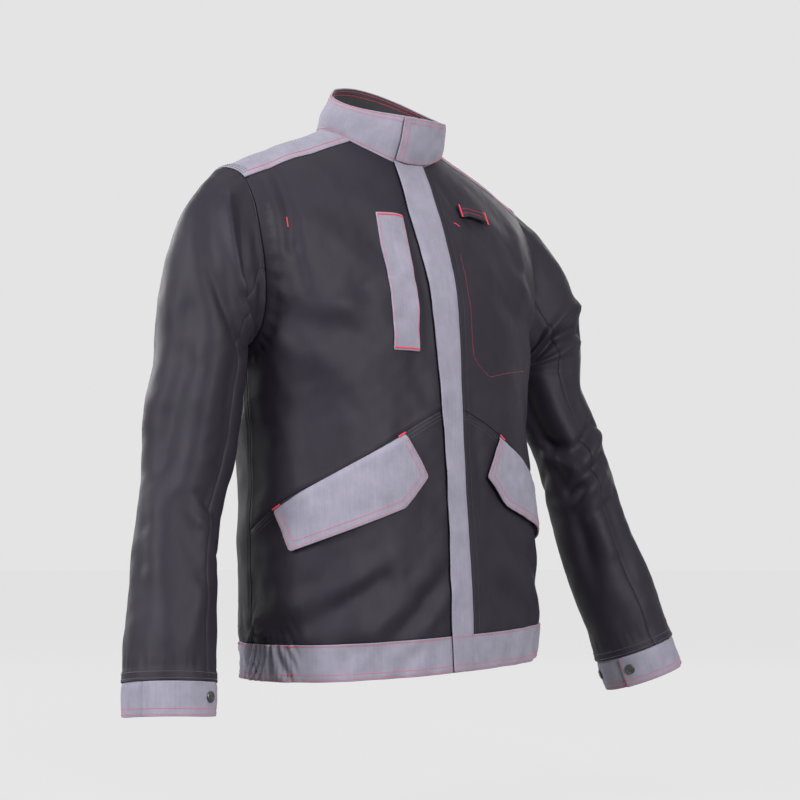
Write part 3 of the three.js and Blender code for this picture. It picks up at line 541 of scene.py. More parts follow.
class Sleeve:
    """one sleeve as a fine grid: angle (240 columns) by distance from the armhole"""

    NT = 240

    def __init__(self, side, s):
        R = sleeve_rings(side, s)
        K = len(R)
        # round each ring
        f = np.arange(self.NT) / self.NT * RING
        k = f.astype(int)
        t = (f - k)[None, :, None]
        P = lambda j: R[:, (k + j) % RING]
        a, b, d, e = P(-1), P(0), P(1), P(2)
        D = 0.5 * (2 * b + (d - a) * t + (2 * a - 5 * b + 4 * d - e) * t * t + (3 * b - 3 * d + e - a) * t ** 3)
        step = np.linalg.norm(np.diff(D, axis=0), axis=2).mean(1)
        pos = np.concatenate([[0], np.cumsum(step)]) - step[0]  # 0 on the armhole seam
        self.L0, self.L1 = pos[0], pos[-1]
        rows = np.arange(self.L0, self.L1 + 0.01, 2.0)
        rows[-1] = self.L1
        h = np.diff(pos)
        m = np.empty_like(D)
        sl = np.diff(D, axis=0) / h[:, None, None]
        m[0], m[-1] = sl[0], sl[-1]
        m[1:-1] = (sl[:-1] * h[1:, None, None] + sl[1:] * h[:-1, None, None]) / (h[:-1] + h[1:])[:, None, None]
        i = np.clip(np.searchsorted(pos, rows, side="left") - 1, 0, K - 2)
        tt = ((rows - pos[i]) / h[i])[:, None, None]
        hh = h[i][:, None, None]
        t2, t3 = tt * tt, tt ** 3
        G = (2 * t3 - 3 * t2 + 1) * D[i] + (t3 - 2 * t2 + tt) * hh * m[i] + (-2 * t3 + 3 * t2) * D[i + 1] + (t3 - t2) * hh * m[i + 1]
        self.side, self.s, self.rows = side, s, rows
        G = self.relax(G)
        # folds
        du = np.roll(G, -1, 1) - np.roll(G, 1, 1)
        dv = np.gradient(G, axis=0)
        n = np.cross(du, dv)
        n /= np.maximum(np.linalg.norm(n, axis=2), 1e-9)[..., None]
        c = G.mean(1, keepdims=True)
        if np.median((n * (G - c)).sum(2)) < 0:
            n = -n
        ang = np.arange(self.NT) * 360 / self.NT
        T, L = np.meshgrid(ang, rows)
        flat = G.reshape(-1, 3)
        amt = 0.9 * N_BIG(flat * 1.2) + 0.75 * N_MID(flat) + 0.22 * N_FINE(flat)
        for a, b, w, amp in SLEEVE_FOLDS[side]:
            for turn in (-360, 0, 360):
                A = np.column_stack([(T.ravel() + turn) * 0.96, L.ravel()])
                amt += 1.3 * bump(A, (a[0] * 0.96, a[1]), (b[0] * 0.96, b[1]), w, amp)
        amt = amt.reshape(T.shape)
        # ease at the armhole seam, seam lines, and the turned band at the end
        amt *= smooth((L - 2) / 26) * (0.25 + 0.75 * smooth((self.L1 - L) / 30))
        amt += 0.5 * np.sin(np.radians(T) * 20 + np.sin(np.radians(T) * 3)) * np.exp(-(((L - 9) / 7) ** 2))
        amt += 1.6 * np.exp(-(((L - 8) / 9) ** 2)) * smooth(L / 4)
        seam = np.minimum(np.abs(((T - 108 + 180) % 360) - 180), np.abs(((T + 108 + 180) % 360) - 180)) * 0.96
        amt += (0.35 * np.exp(-(((seam - 4) / 3.5) ** 2)) - 0.4 * np.exp(-((seam / 1.8) ** 2))) * smooth((L - 6) / 10)
        e = self.L1 - L
        amt += 1.25 * smooth((12.5 - e) / 1.6) - 0.6 * np.exp(-(((e - 2.6) / 0.9) ** 2)) - 0.6 * np.exp(-(((e - 9.6) / 0.9) ** 2))
        amt += 0.5 * np.sin(np.radians(T) * 26 + 2 * np.sin(np.radians(T) * 5)) * np.exp(-(((e - 19) / 9) ** 2))
        G = G + n * amt[..., None]
        self.G = warp_top(G.reshape(-1, 3)).reshape(G.shape)
        top = (1 + np.cos(np.radians(T + 10))) / 2
        reach = lerp(215.0, 95.0, top)
        self.W = smooth((L - 1.0) / reach)
        kd = kdtree.KDTree((self.G.shape[0] // 2 + 1) * (self.NT // 2))
        self.kw = []
        for a in range(0, self.G.shape[0], 2):
            for b in range(0, self.NT, 2):
                kd.insert(self.G[a, b], len(self.kw))
                self.kw.append(self.W[a, b])
        kd.balance()
        self.kd = kd

    @staticmethod
    def relax(G):
        """evens out what is left of the ring steps, away from the armhole"""
        for _ in range(60):
            g = G.copy()
            g[1:-1] = 0.5 * G[1:-1] + 0.25 * (G[:-2] + G[2:])
            w = np.clip((np.arange(len(G)) - 8) / 14, 0, 1)[:, None, None] * np.clip((len(G) - 4 - np.arange(len(G))) / 4, 0, 1)[:, None, None]
            G = G * (1 - w) + g * w
        return G

    def f(self, uv):
        """u = angle in degrees * 0.96, v = mm from the armhole"""
        t = (uv[:, 0] / 0.96) % 360 / 360 * self.NT
        r = np.interp(uv[:, 1], self.rows, np.arange(len(self.rows)))
        i, j = np.floor(r).astype(int), np.floor(t).astype(int)
        i = np.clip(i, 0, len(self.rows) - 2)
        a, b = (r - i)[:, None], (t - j)[:, None]
        j0, j1 = j % self.NT, (j + 1) % self.NT
        g = self.G
        return (g[i, j0] * (1 - b) + g[i, j1] * b) * (1 - a) + (g[i + 1, j0] * (1 - b) + g[i + 1, j1] * b) * a

    def weights(self, P):
        out = np.empty(len(P))
        for k, p in enumerate(P):
            out[k] = self.kw[self.kd.find(p)[1]]
        return out


class SleeveSurf(Surf):
    def at(self, uv):
        uv = np.asarray(uv, float)
        e = 2.2
        P = self.f(uv)
        n = np.cross(self.f(uv + [e, 0]) - self.f(uv - [e, 0]), self.f(uv + [0, e]) - self.f(uv - [0, e]))
        n /= np.maximum(np.linalg.norm(n, axis=1), 1e-9)[:, None]
        if self.sign is None:
            self.sign = 1.0 if np.median((n * self.outward(P)).sum(1)) > 0 else -1.0
        return P, n * self.sign


# ------------------------------------------------------------------ mesh making
def resample(P, step, closed=True):
    P = np.asarray(P, float)
    if closed:
        P = np.vstack([P, P[:1]])
    d = np.linalg.norm(np.diff(P, axis=0), axis=1)
    P = P[np.concatenate([[True], d > 1e-9])]
    d = np.linalg.norm(np.diff(P, axis=0), axis=1)
    L = np.concatenate([[0], np.cumsum(d)])
    n = max(3, int(round(L[-1] / step)))
    t = np.linspace(0, L[-1], n + 1)
    out = np.column_stack([np.interp(t, L, P[:, k]) for k in range(P.shape[1])])
    return out[:-1] if closed else out


def outline(parts, step):
    """closed outline from open parts, each resampled on its own so that the corners stay"""
    out = []
    for p in parts:
        out.append(resample(p, step, closed=False)[:-1])
    return np.vstack(out)


def seg_distance(P, poly):
    A, B = poly, np.roll(poly, -1, 0)
    d = B - A
    l2 = np.maximum((d * d).sum(1), 1e-12)
    out = np.empty(len(P))
    for k in range(0, len(P), 4000):
        q = P[k:k + 4000, None, :] - A[None]
        t = np.clip((q * d[None]).sum(-1) / l2, 0, 1)
        r = q - t[..., None] * d[None]
        out[k:k + 4000] = np.sqrt((r * r).sum(-1).min(1))
    return out


def inside(P, poly):
    x0, y0 = poly[:, 0], poly[:, 1]
    x1, y1 = np.roll(x0, -1), np.roll(y0, -1)
    out = np.zeros(len(P), bool)
    for k in range(0, len(P), 4000):
        px, py = P[k:k + 4000, 0][:, None], P[k:k + 4000, 1][:, None]
        c = (y0 > py) != (y1 > py)
        xi = x0 + (py - y0) / np.where(np.abs(y1 - y0) < 1e-12, 1e-12, y1 - y0) * (x1 - x0)
        out[k:k + 4000] = ((c & (px < xi)).sum(1) % 2) == 1
    return out


def area2(poly):
    x, y = poly.T
    return 0.5 * float((x * np.roll(y, -1) - np.roll(x, -1) * y).sum())


def flat_mesh(poly, dists, cell, cell_v=None):
    """points and triangles filling an outline: rows of points beside the edge, a grid further in"""
    if area2(poly) < 0:
        poly = poly[::-1]
    cell_v = cell_v or cell
    t = np.roll(poly, -1, 0) - np.roll(poly, 1, 0)
    t /= np.maximum(np.linalg.norm(t, axis=1), 1e-9)[:, None]
    nrm = np.column_stack([-t[:, 1], t[:, 0]])
    pts = [poly]
    last = 0.0
    for d in dists:
        q = poly + nrm * d
        ok = (seg_distance(q, poly) > d * 0.93) & inside(q, poly)
        q = q[ok]
        if d > 2.5 and len(q) > 8:
            q = q[:: max(1, int(round(1.0)))]
        pts.append(q)
        last = d
    lo, hi = poly.min(0), poly.max(0)
    gx, gy = np.arange(lo[0], hi[0], cell), np.arange(lo[1], hi[1], cell_v)
    g = np.stack(np.meshgrid(gx, gy), -1).astype(float)
    g[1::2, :, 0] += cell / 2
    g = g.reshape(-1, 2)
    g = g[inside(g, poly)]
    g = g[seg_distance(g, poly) > last + 0.6 * min(cell, cell_v)]
    pts.append(g)
    P = np.vstack(pts)
    n = len(poly)
    res = mgeo.delaunay_2d_cdt([Vector(p) for p in P], [], [list(range(n))], 1, 1e-4)
    V = np.array([(v.x, v.y) for v in res[0]])
    F = [tuple(f) for f in res[2]]
    return V, F, poly


def to_mesh(name, V, F, uv=None, material=None):
    me = bpy.data.meshes.new(name)
    me.from_pydata([tuple(p) for p in V], [], F)
    me.update()
    if uv is not None:
        idx = np.empty(len(me.loops), np.int32)
        me.loops.foreach_get("vertex_index", idx)
        layer = me.uv_layers.new(name="cloth")
        layer.data.foreach_set("uv", (uv[idx] / 1000.0).astype(np.float32).ravel())
    me.polygons.foreach_set("use_smooth", np.ones(len(me.polygons), bool))
    if material:
        me.materials.append(material)
    o = bpy.data.objects.new(name, me)
    bpy.context.scene.collection.objects.link(o)
    return o


def tri_area(V, F):
    F = np.array(F)
    a, b, c = V[F[:, 0]], V[F[:, 1]], V[F[:, 2]]
    return 0.5 * np.linalg.norm(np.cross(b - a, c - a), axis=1).sum()


def cloth_piece(name, surf, poly, off_out, off_in, mat, slot, cell=5.0, cell_v=None, rim=1.0, rows=(), extra=None, sheet=True, held="hung", replaces=(), rests_on=()):
    """a panel of cloth with real thickness and a rounded edge, over a flat outline"""
    rim = max(rim, 0.3)
    dists = sorted(set([0.3 * rim, 0.7 * rim, 1.15 * rim] + [r for r in rows if r > 1.3 * rim]))
    V2, F, poly = flat_mesh(poly, dists, cell, cell_v)
    d = seg_distance(V2, poly)
    d[d < 0.02] = 0
    prof = np.sqrt(1 - (1 - np.clip(d / rim, 0, 1)) ** 2)
    mid, half = (off_out + off_in) / 2, (off_out - off_in) / 2
    ex = extra(V2, d) if extra is not None else 0.0
    Po, n = surf.point(V2, mid + half * prof, ex)
    Pi, _ = surf.point(V2, mid - half * prof, ex)
    edge = d == 0
    k = len(V2)
    index = np.where(edge, np.arange(k), -1)
    index[~edge] = k + np.arange((~edge).sum())
    V = np.vstack([Po, Pi[~edge]])
    uv = np.vstack([V2, V2[~edge]])
    # the flat layout's own turning decides which side is out
    a, b, c = F[len(F) // 2]
    for f in F[:: max(1, len(F) // 50)]:
        a, b, c = f
        if not (edge[a] or edge[b] or edge[c]):
            break
    turn = np.dot(np.cross(Po[b] - Po[a], Po[c] - Po[a]), n[a])
    outer = F if turn > 0 else [(c, b, a) for a, b, c in F]
    inner = [(int(index[c]), int(index[b]), int(index[a])) for a, b, c in outer]
    inner = [f for f, g in zip(inner, outer) if not (edge[g[0]] and edge[g[1]] and edge[g[2]])]
    faces = list(outer) + inner
    lost = [g for g in outer if edge[g[0]] and edge[g[1]] and edge[g[2]]]
    if lost:  # a triangle with all corners on the edge would be doubled
        keep = set(lost)
        faces = [f for f in outer if f not in keep] + inner
    o = to_mesh(name, row(V), faces, uv, mat)
    if replaces:
        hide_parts(*replaces)
    if sheet:
        # the flat outline as cut, on its own: nothing here is taken from the finished surface
        w, l = (round(float(x), 4) for x in np.ptp(poly, axis=0) / 1000.0)
        flat_area = min(abs(area2(poly)) / 1e6, w * l)
        built = tri_area(row(Po), F)
    return o


# ---- stitches
def capsules(C, T, Nn, length, r):
    """small rounded threads: centres, directions, normals, lengths"""
    B = np.cross(T, Nn)
    B /= np.maximum(np.linalg.norm(B, axis=1), 1e-9)[:, None]
    Nn = np.cross(B, T)
    prof = [(-1.0, 0.45, -0.55), (-0.72, 0.95, 0.1), (0.0, 1.05, 0.35), (0.72, 0.95, 0.1), (1.0, 0.45, -0.55)]
    ang = np.arange(6) * math.pi / 3
    V = []
    for a, rr, up in prof:
        for w in ang:
            V.append(C + T * (a * length / 2)[:, None] + (B * math.cos(w) + Nn * math.sin(w)) * (r * rr) + Nn * (up * r))
    V = np.stack(V, 1)
    m, k = len(C), len(prof) * 6
    F = []
    for j in range(len(prof) - 1):
        for w in range(6):
            F.append([j * 6 + w, j * 6 + (w + 1) % 6, (j + 1) * 6 + (w + 1) % 6, (j + 1) * 6 + w])
    F = np.array(F)
    allF = (F[None] + (np.arange(m) * k)[:, None, None]).reshape(-1, 4)
    caps = np.array([[5, 4, 3, 2, 1, 0], [24, 25, 26, 27, 28, 29]])
    allC = (caps[None] + (np.arange(m) * k)[:, None, None]).reshape(-1, 6)
    return V.reshape(-1, 3), allF.tolist() + allC.tolist()


class Thread:
    """collects stitches of one colour on one body"""

    def __init__(self):
        self.V, self.F, self.n = [], [], 0

    def push(self, V, F):
        self.V.append(V)
        self.F += [[i + self.n for i in f] for f in F]
        self.n += len(V)

    def run(self, surf, uv, off, pitch=3.3, length=2.6, r=0.29, extra=None, closed=False):
        uv = np.asarray(uv, float)
        if closed:
            uv = np.vstack([uv, uv[:1]])
        fine = resample(uv, 2.0, closed=False)
        P, n = surf.point(fine, off, extra(fine) if extra else None)
        L = np.concatenate([[0], np.cumsum(np.linalg.norm(np.diff(P, axis=0), axis=1))])
        if L[-1] < 2:
            return
        c = np.arange(pitch / 2, L[-1], pitch)
        at = lambda X, q: np.column_stack([np.interp(q, L, X[:, k]) for k in range(3)])
        C, nn = at(P, c), at(n, c)
        A, B = at(P, c - length / 2), at(P, c + length / 2)
        T = B - A
        ln = np.linalg.norm(T, axis=1)
        T /= np.maximum(ln, 1e-9)[:, None]
        nn /= np.linalg.norm(nn, axis=1)[:, None]
        C = (A + B) / 2
        V, F = capsules(C, T, nn, np.full(len(c), length), r)
        self.push(V, F)

    def bar(self, surf, a, b, off, width=1.9, r=0.3, extra=None):
        """dense bar of short threads across a line"""
        a, b = np.array(a, float), np.array(b, float)
        n = max(4, int(np.linalg.norm(b - a) / 0.48))
        t = np.linspace(0, 1, n)[:, None]
        uv = a + (b - a) * t
        P, nn = surf.point(uv, off, extra(uv) if extra else None)
        d = np.gradient(P, axis=0)
        d /= np.linalg.norm(d, axis=1)[:, None]
        T = np.cross(nn, d)
        T /= np.linalg.norm(T, axis=1)[:, None]
        slant = 0.12 * np.where(np.arange(n) % 2, 1, -1)[:, None] * d
        V, F = capsules(P, (T + slant) / np.linalg.norm(T + slant, axis=1)[:, None], nn, np.full(n, width), r)
        self.push(V, F)

    def make(self, name, material):
        if not self.V:
            return None
        return to_mesh(name, row(np.vstack(self.V)), self.F, None, material)


def inset(uv, d):
    """a line beside another, d to its left"""
    uv = resample(uv, 3.0, closed=False)
    t = np.gradient(uv, axis=0)
    t /= np.maximum(np.linalg.norm(t, axis=1), 1e-9)[:, None]
    return uv + np.column_stack([-t[:, 1], t[:, 0]]) * d


def inset_true(surf, uv, d, steps=8):
    """a line beside another at a true distance over the surface, where the flat layout is stretched"""
    uv = resample(uv, 3.0, closed=False)
    t = np.gradient(uv, axis=0)
    t /= np.maximum(np.linalg.norm(t, axis=1), 1e-9)[:, None]
    n = np.column_stack([-t[:, 1], t[:, 0]]) * np.sign(d)
    q = uv.copy()
    for _ in range(steps):
        g = np.linalg.norm(surf.f(q + n * 0.4) - surf.f(q), axis=1) / 0.4
        g = np.clip(g, 0.7, 8.0)
        g = np.convolve(np.pad(g, 4, mode="edge"), np.ones(9) / 9, mode="valid")
        q = q + n * (abs(d) / steps / g)[:, None]
    return q


def inset_loop(poly, d):
    """an open path inside an outline of straight sides: corners stay sharp"""
    poly = np.asarray(poly, float)
    n = len(poly)
    s = np.sign(area2(poly))
    out = []
    for i in range(n):
        p, q, r = poly[i - 1], poly[i], poly[(i + 1) % n]
        a, b = (q - p) / np.linalg.norm(q - p), (r - q) / np.linalg.norm(r - q)
        na, nb = np.array([-a[1], a[0]]) * s, np.array([-b[1], b[0]]) * s
        m = na + nb
        out.append(q + m * d / max(0.25, (m @ m) / 2))
    return np.array(out)


# ------------------------------------------------------------------ materials
def new_material(name):
    m = bpy.data.materials.new(name)
    m.use_nodes = True
    nt = m.node_tree
    return m, nt, nt.nodes, nt.links, nt.nodes["Principled BSDF"]


def fabric(name, dark, light, rough, sheen, sheen_rough=0.4, pitch=0.75, angle=63, depth=0.00012, spec=0.35, aniso=0.0, mottle=0.5, streak=0.35, tint=(1, 1, 1), cloud=(17, 0.6)):
    """woven twill: fine diagonal ribs, uneven threads, and slow changes of shade"""
    m, nt, nodes, links, bsdf = new_material(name)
    uvn = nodes.new("ShaderNodeUVMap")
    uvn.uv_map = "cloth"
    mp = nodes.new("ShaderNodeMapping")
    mp.inputs["Rotation"].default_value = (0, 0, math.radians(angle))
    links.new(uvn.outputs[0], mp.inputs[0])
    wave = nodes.new("ShaderNodeTexWave")
    wave.wave_type, wave.bands_direction, wave.wave_profile = "BANDS", "X", "SIN"
    wave.inputs["Scale"].default_value = 2 * math.pi / (20 * pitch / 1000)
    wave.inputs["Distortion"].default_value = 1.4
    wave.inputs["Detail"].default_value = 2
    wave.inputs["Detail Scale"].default_value = 1.4
    links.new(mp.outputs[0], wave.inputs[0])
    thread = nodes.new("ShaderNodeTexNoise")
    thread.inputs["Scale"].default_value = 1100
    thread.inputs["Detail"].default_value = 2
    links.new(uvn.outputs[0], thread.inputs[0])
    stretch = nodes.new("ShaderNodeMapping")
    stretch.inputs["Scale"].default_value = (420, 26, 1)
    links.new(uvn.outputs[0], stretch.inputs[0])
    slub = nodes.new("ShaderNodeTexNoise")
    slub.inputs["Scale"].default_value = 1.0
    slub.inputs["Detail"].default_value = 3
    links.new(stretch.outputs[0], slub.inputs[0])
    shade = nodes.new("ShaderNodeTexNoise")
    shade.inputs["Scale"].default_value = cloud[0]
    shade.inputs["Detail"].default_value = 6
    shade.inputs["Roughness"].default_value = cloud[1]
    links.new(uvn.outputs[0], shade.inputs[0])
    cloud = shade
    mixf = nodes.new("ShaderNodeMath")
    mixf.operation = "MULTIPLY_ADD"
    mixf.inputs[1].default_value = streak
    links.new(slub.outputs["Fac"], mixf.inputs[0])
    addc = nodes.new("ShaderNodeMath")
    addc.operation = "MULTIPLY"
    addc.inputs[1].default_value = mottle
    links.new(cloud.outputs["Fac"], addc.inputs[0])
    links.new(addc.outputs[0], mixf.inputs[2])
    weave = nodes.new("ShaderNodeMath")
    weave.operation = "MULTIPLY_ADD"
    weave.inputs[1].default_value = 0.3
    links.new(wave.outputs["Fac"], weave.inputs[0])
    links.new(mixf.outputs[0], weave.inputs[2])
    ramp = nodes.new("ShaderNodeMix")
    ramp.data_type = "RGBA"
    ramp.inputs[6].default_value = (*dark, 1)
    ramp.inputs[7].default_value = (*light, 1)
    links.new(weave.outputs[0], ramp.inputs[0])
    links.new(ramp.outputs[2], bsdf.inputs["Base Color"])
    rr = nodes.new("ShaderNodeMapRange")
    rr.inputs["To Min"].default_value = rough - 0.07
    rr.inputs["To Max"].default_value = rough + 0.07
    links.new(cloud.outputs["Fac"], rr.inputs["Value"])
    links.new(rr.outputs[0], bsdf.inputs["Roughness"])
    hgt = nodes.new("ShaderNodeMath")
    hgt.operation = "MULTIPLY_ADD"
    hgt.inputs[1].default_value = 0.55
    links.new(thread.outputs["Fac"], hgt.inputs[0])
    links.new(wave.outputs["Fac"], hgt.inputs[2])
    b = nodes.new("ShaderNodeBump")
    b.inputs["Strength"].default_value = 0.5
    b.inputs["Distance"].default_value = depth
    links.new(hgt.outputs[0], b.inputs["Height"])
    links.new(b.outputs[0], bsdf.inputs["Normal"])
    bsdf.inputs["Sheen Weight"].default_value = sheen
    bsdf.inputs["Sheen Roughness"].default_value = sheen_rough
    bsdf.inputs["Sheen Tint"].default_value = (*tint, 1)
    bsdf.inputs["Specular IOR Level"].default_value = spec
    return m


def plain_noise(name, dark, light, rough, scale, metal=0.0, spec=0.5, depth=0.0001, sheen=0.0, coat=0.0):
    m, nt, nodes, links, bsdf = new_material(name)
    tc = nodes.new("ShaderNodeTexCoord")
    nz = nodes.new("ShaderNodeTexNoise")
    nz.inputs["Scale"].default_value = scale
    nz.inputs["Detail"].default_value = 4
    links.new(tc.outputs["Object"], nz.inputs[0])
    mix = nodes.new("ShaderNodeMix")
    mix.data_type = "RGBA"
    mix.inputs[6].default_value = (*dark, 1)
    mix.inputs[7].default_value = (*light, 1)
    links.new(nz.outputs["Fac"], mix.inputs[0])
    links.new(mix.outputs[2], bsdf.inputs["Base Color"])
    rr = nodes.new("ShaderNodeMapRange")
    rr.inputs["To Min"].default_value = rough - 0.08
    rr.inputs["To Max"].default_value = rough + 0.08
    links.new(nz.outputs["Fac"], rr.inputs["Value"])
    links.new(rr.outputs[0], bsdf.inputs["Roughness"])
    b = nodes.new("ShaderNodeBump")
    b.inputs["Strength"].default_value = 0.4
    b.inputs["Distance"].default_value = depth
    links.new(nz.outputs["Fac"], b.inputs["Height"])
    links.new(b.outputs[0], bsdf.inputs["Normal"])
    bsdf.inputs["Metallic"].default_value = metal
    bsdf.inputs["Specular IOR Level"].default_value = spec
    bsdf.inputs["Sheen Weight"].default_value = sheen
    bsdf.inputs["Coat Weight"].default_value = coat
    return m


M_CHAR = fabric("charcoal_satin", (0.0036, 0.0030, 0.0046), (0.0142, 0.0122, 0.0186), 0.55, 0.012, 0.35, pitch=0.7, angle=63, spec=0.12, mottle=0.5, streak=0.3, tint=(0.9, 0.88, 1.0))
M_GREY = fabric("grey_twill", (0.040, 0.038, 0.050), (0.178, 0.171, 0.212), 0.75, 0.04, 0.5, pitch=0.8, angle=-63, spec=0.2, mottle=0.62, streak=0.26, depth=0.00016, cloud=(27, 0.72))
M_LINING = fabric("dark_lining", (0.010, 0.0095, 0.011), (0.028, 0.027, 0.030), 0.85, 0.04, 0.5, pitch=1.0, angle=45, spec=0.15)
M_ELASTIC = fabric("ribbed_elastic", (0.02, 0.019, 0.022), (0.07, 0.068, 0.075), 0.8, 0.1, 0.5, pitch=1.6, angle=90, depth=0.0004, spec=0.25)
M_TAPE = plain_noise("hook_and_loop", (0.010, 0.010, 0.011), (0.045, 0.043, 0.048), 0.9, 1400, spec=0.2, depth=0.0006, sheen=0.3)
M_RED = plain_noise("red_thread", (0.27, 0.008, 0.024), (0.44, 0.020, 0.044), 0.55, 1800, spec=0.25, depth=0.0001, sheen=0.08)
M_BLACK = plain_noise("dark_thread", (0.006, 0.006, 0.007), (0.017, 0.016, 0.019), 0.55, 1800, spec=0.35, depth=0.0001, sheen=0.15)
M_STUD = plain_noise("lacquered_stud", (0.006, 0.006, 0.007), (0.014, 0.013, 0.015), 0.30, 260, metal=0.25, spec=0.6, depth=0.00003, coat=0.35)
M_LABEL = fabric("woven_label", (0.40, 0.39, 0.37), (0.58, 0.57, 0.54), 0.8, 0.1, 0.5, pitch=0.5, angle=0, spec=0.2)


# ------------------------------------------------------------------ baking transforms, and coordinates in the hem frame
def set_weights(o, w):
    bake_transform(o)


def hem_coords(o):
    co = np.empty(len(o.data.vertices) * 3, np.float32)
    o.data.vertices.foreach_get("co", co)
    return co.reshape(-1, 3).astype(float) * 1000 + HANGER


red, dark = Thread(), Thread()          # on the shell
flap_red = Thread()                     # on the storm flap
collar_red, tab_red = Thread(), Thread()

# ------------------------------------------------------------------ shell panels
arm = ARM3


def arm_part(s, lo, hi):
    """piece of the armhole's outline between two places, running from lo to hi"""
    n = len(arm)
    idx = np.arange(lo, hi + 1) if lo <= hi else np.arange(lo, hi + n + 1)
    p = arm[idx % n].copy()
    p[:, 0] *= s
    return p


n_arm = len(arm)
top_i = int(np.argmax(arm[:, 2]))
# place where the front yoke seam meets the armhole, the side seam at the pit, and the back yoke seam
f_idx = [i for i in range(n_arm) if arm[i, 1] < AXIS_Y(arm[i, 2]) and arm[i, 2] < YOKE_FRONT(arm[i, 0])]
i_yoke_f = min(f_idx, key=lambda i: abs(arm[i, 2] - YOKE_FRONT(arm[i, 0])))
pit_set = [i for i in range(n_arm) if arm[i, 2] < 430]
i_pit = min(pit_set, key=lambda i: abs(arm[i, 1] - SIDE_LINE(arm[i, 2])))
b_set = [i for i in range(n_arm) if arm[i, 1] > AXIS_Y(arm[i, 2]) and arm[i, 2] > 500]
i_yoke_b = min(b_set, key=lambda i: abs(arm[i, 2] - YOKE_BACK_Z))

# neck curve, from the centre front round the left side to the centre back
th = np.radians(np.linspace(0, 180, 181))
neck = np.column_stack([85.2 * np.sin(th), 20 - 64.2 * np.cos(th)])
neck = np.column_stack([neck, height_at(neck[:, 0], neck[:, 1])])
j_neck = int(np.argmax((neck[:, 2] > YOKE_FRONT(neck[:, 0])) & (neck[:, 1] < AXIS_Y(neck[:, 2])) & (neck[:, 0] > 20)))


def upper_outline(s):
    parts = []
    zc = np.linspace(float(POCKET_SEAM(0.2)), float(neck[0, 2]), 60)
    p = torso_xz(np.full(60, s * 0.6), zc)
    parts.append(body_uv(p[:, 0], p[:, 1], p[:, 2]))
    nk = neck[: j_neck + 1].copy()
    nk[:, 0] *= s
    nk[0, 0] = s * 0.6
    parts.append(body_uv(nk[:, 0], nk[:, 1], nk[:, 2]))
    xs = np.linspace(abs(nk[-1, 0]), arm[i_yoke_f, 0], 40)
    p = torso_xz(s * xs, YOKE_FRONT(xs))
    p[0], p[-1] = nk[-1], arm[i_yoke_f] * [s, 1, 1]
    parts.append(body_uv(p[:, 0], p[:, 1], p[:, 2]))
    a = arm_part(s, i_yoke_f, i_pit)
    parts.append(body_uv(a[:, 0], a[:, 1], a[:, 2]))
    zs = np.linspace(a[-1, 2], 177.5, 60)
    p = np.column_stack([s * side_at(SIDE_LINE(zs), zs), SIDE_LINE(zs), zs])
    p[0] = a[-1]
    parts.append(body_uv(p[:, 0], p[:, 1], p[:, 2]))
    ph = np.linspace(abs(float(phi_from(p[-1:, 0], p[-1:, 1], p[-1:, 2])[0])), 0.2, 90)
    parts.append(np.column_stack([arc_of(s * ph), POCKET_SEAM(ph)]))
    for k in range(len(parts)):  # joins made exact
        parts[k][-1] = parts[(k + 1) % len(parts)][0]
    return parts


def seam_relief(lines):
    """little step and rows pressed in beside seams: lines are (uv polyline, [(distance, width, amount)])"""
    def f(V2, d):
        out = np.zeros(len(V2))
        for line, shape in lines:
            r = open_distance(V2, line)
            for at, w, amt in shape:
                out += amt * np.exp(-(((r - at) / w) ** 2))
        return out
    return f


def open_distance(P, line):
    line = resample(line, 4.0, closed=False)
    A, B = line[:-1], line[1:]
    d = B - A
    l2 = np.maximum((d * d).sum(1), 1e-12)
    out = np.empty(len(P))
    for k in range(0, len(P), 4000):
        q = P[k:k + 4000, None, :] - A[None]
        t = np.clip((q * d[None]).sum(-1) / l2, 0, 1)
        r = q - t[..., None] * d[None]
        out[k:k + 4000] = np.sqrt((r * r).sum(-1).min(1))
    return out


def with_allowance(parts, ks, rel=None, dist=4.6, push=1.75, step=3.3):
    """outline whose sides ks carry a seam allowance that dips under the neighbouring panel"""
    orig = outline(parts, 3.0)
    new = [p.copy() for p in parts]
    for k in ks:
        for d in (dist, -dist):
            q = inset(parts[k], d)
            if not inside(q[len(q) // 2][None], orig)[0]:
                new[k] = q[1:-1]
                break

    def f(V2, d):
        out = ~inside(V2, orig)
        r = seg_distance(V2, orig)
        e = np.where(out, -push * smooth(r / 1.4), 0.0)
        return e + (rel(V2, d) if rel is not None else 0.0)

    return outline(new, step), f


TRIPLE = [(0.0, 1.2, -0.5), (2.2, 0.9, -0.35), (6.2, 0.9, -0.35), (10.2, 0.9, -0.35), (4.2, 1.2, 0.35), (8.2, 1.2, 0.35)]
ROWS = (2.2, 3.4, 5.0, 7.0)

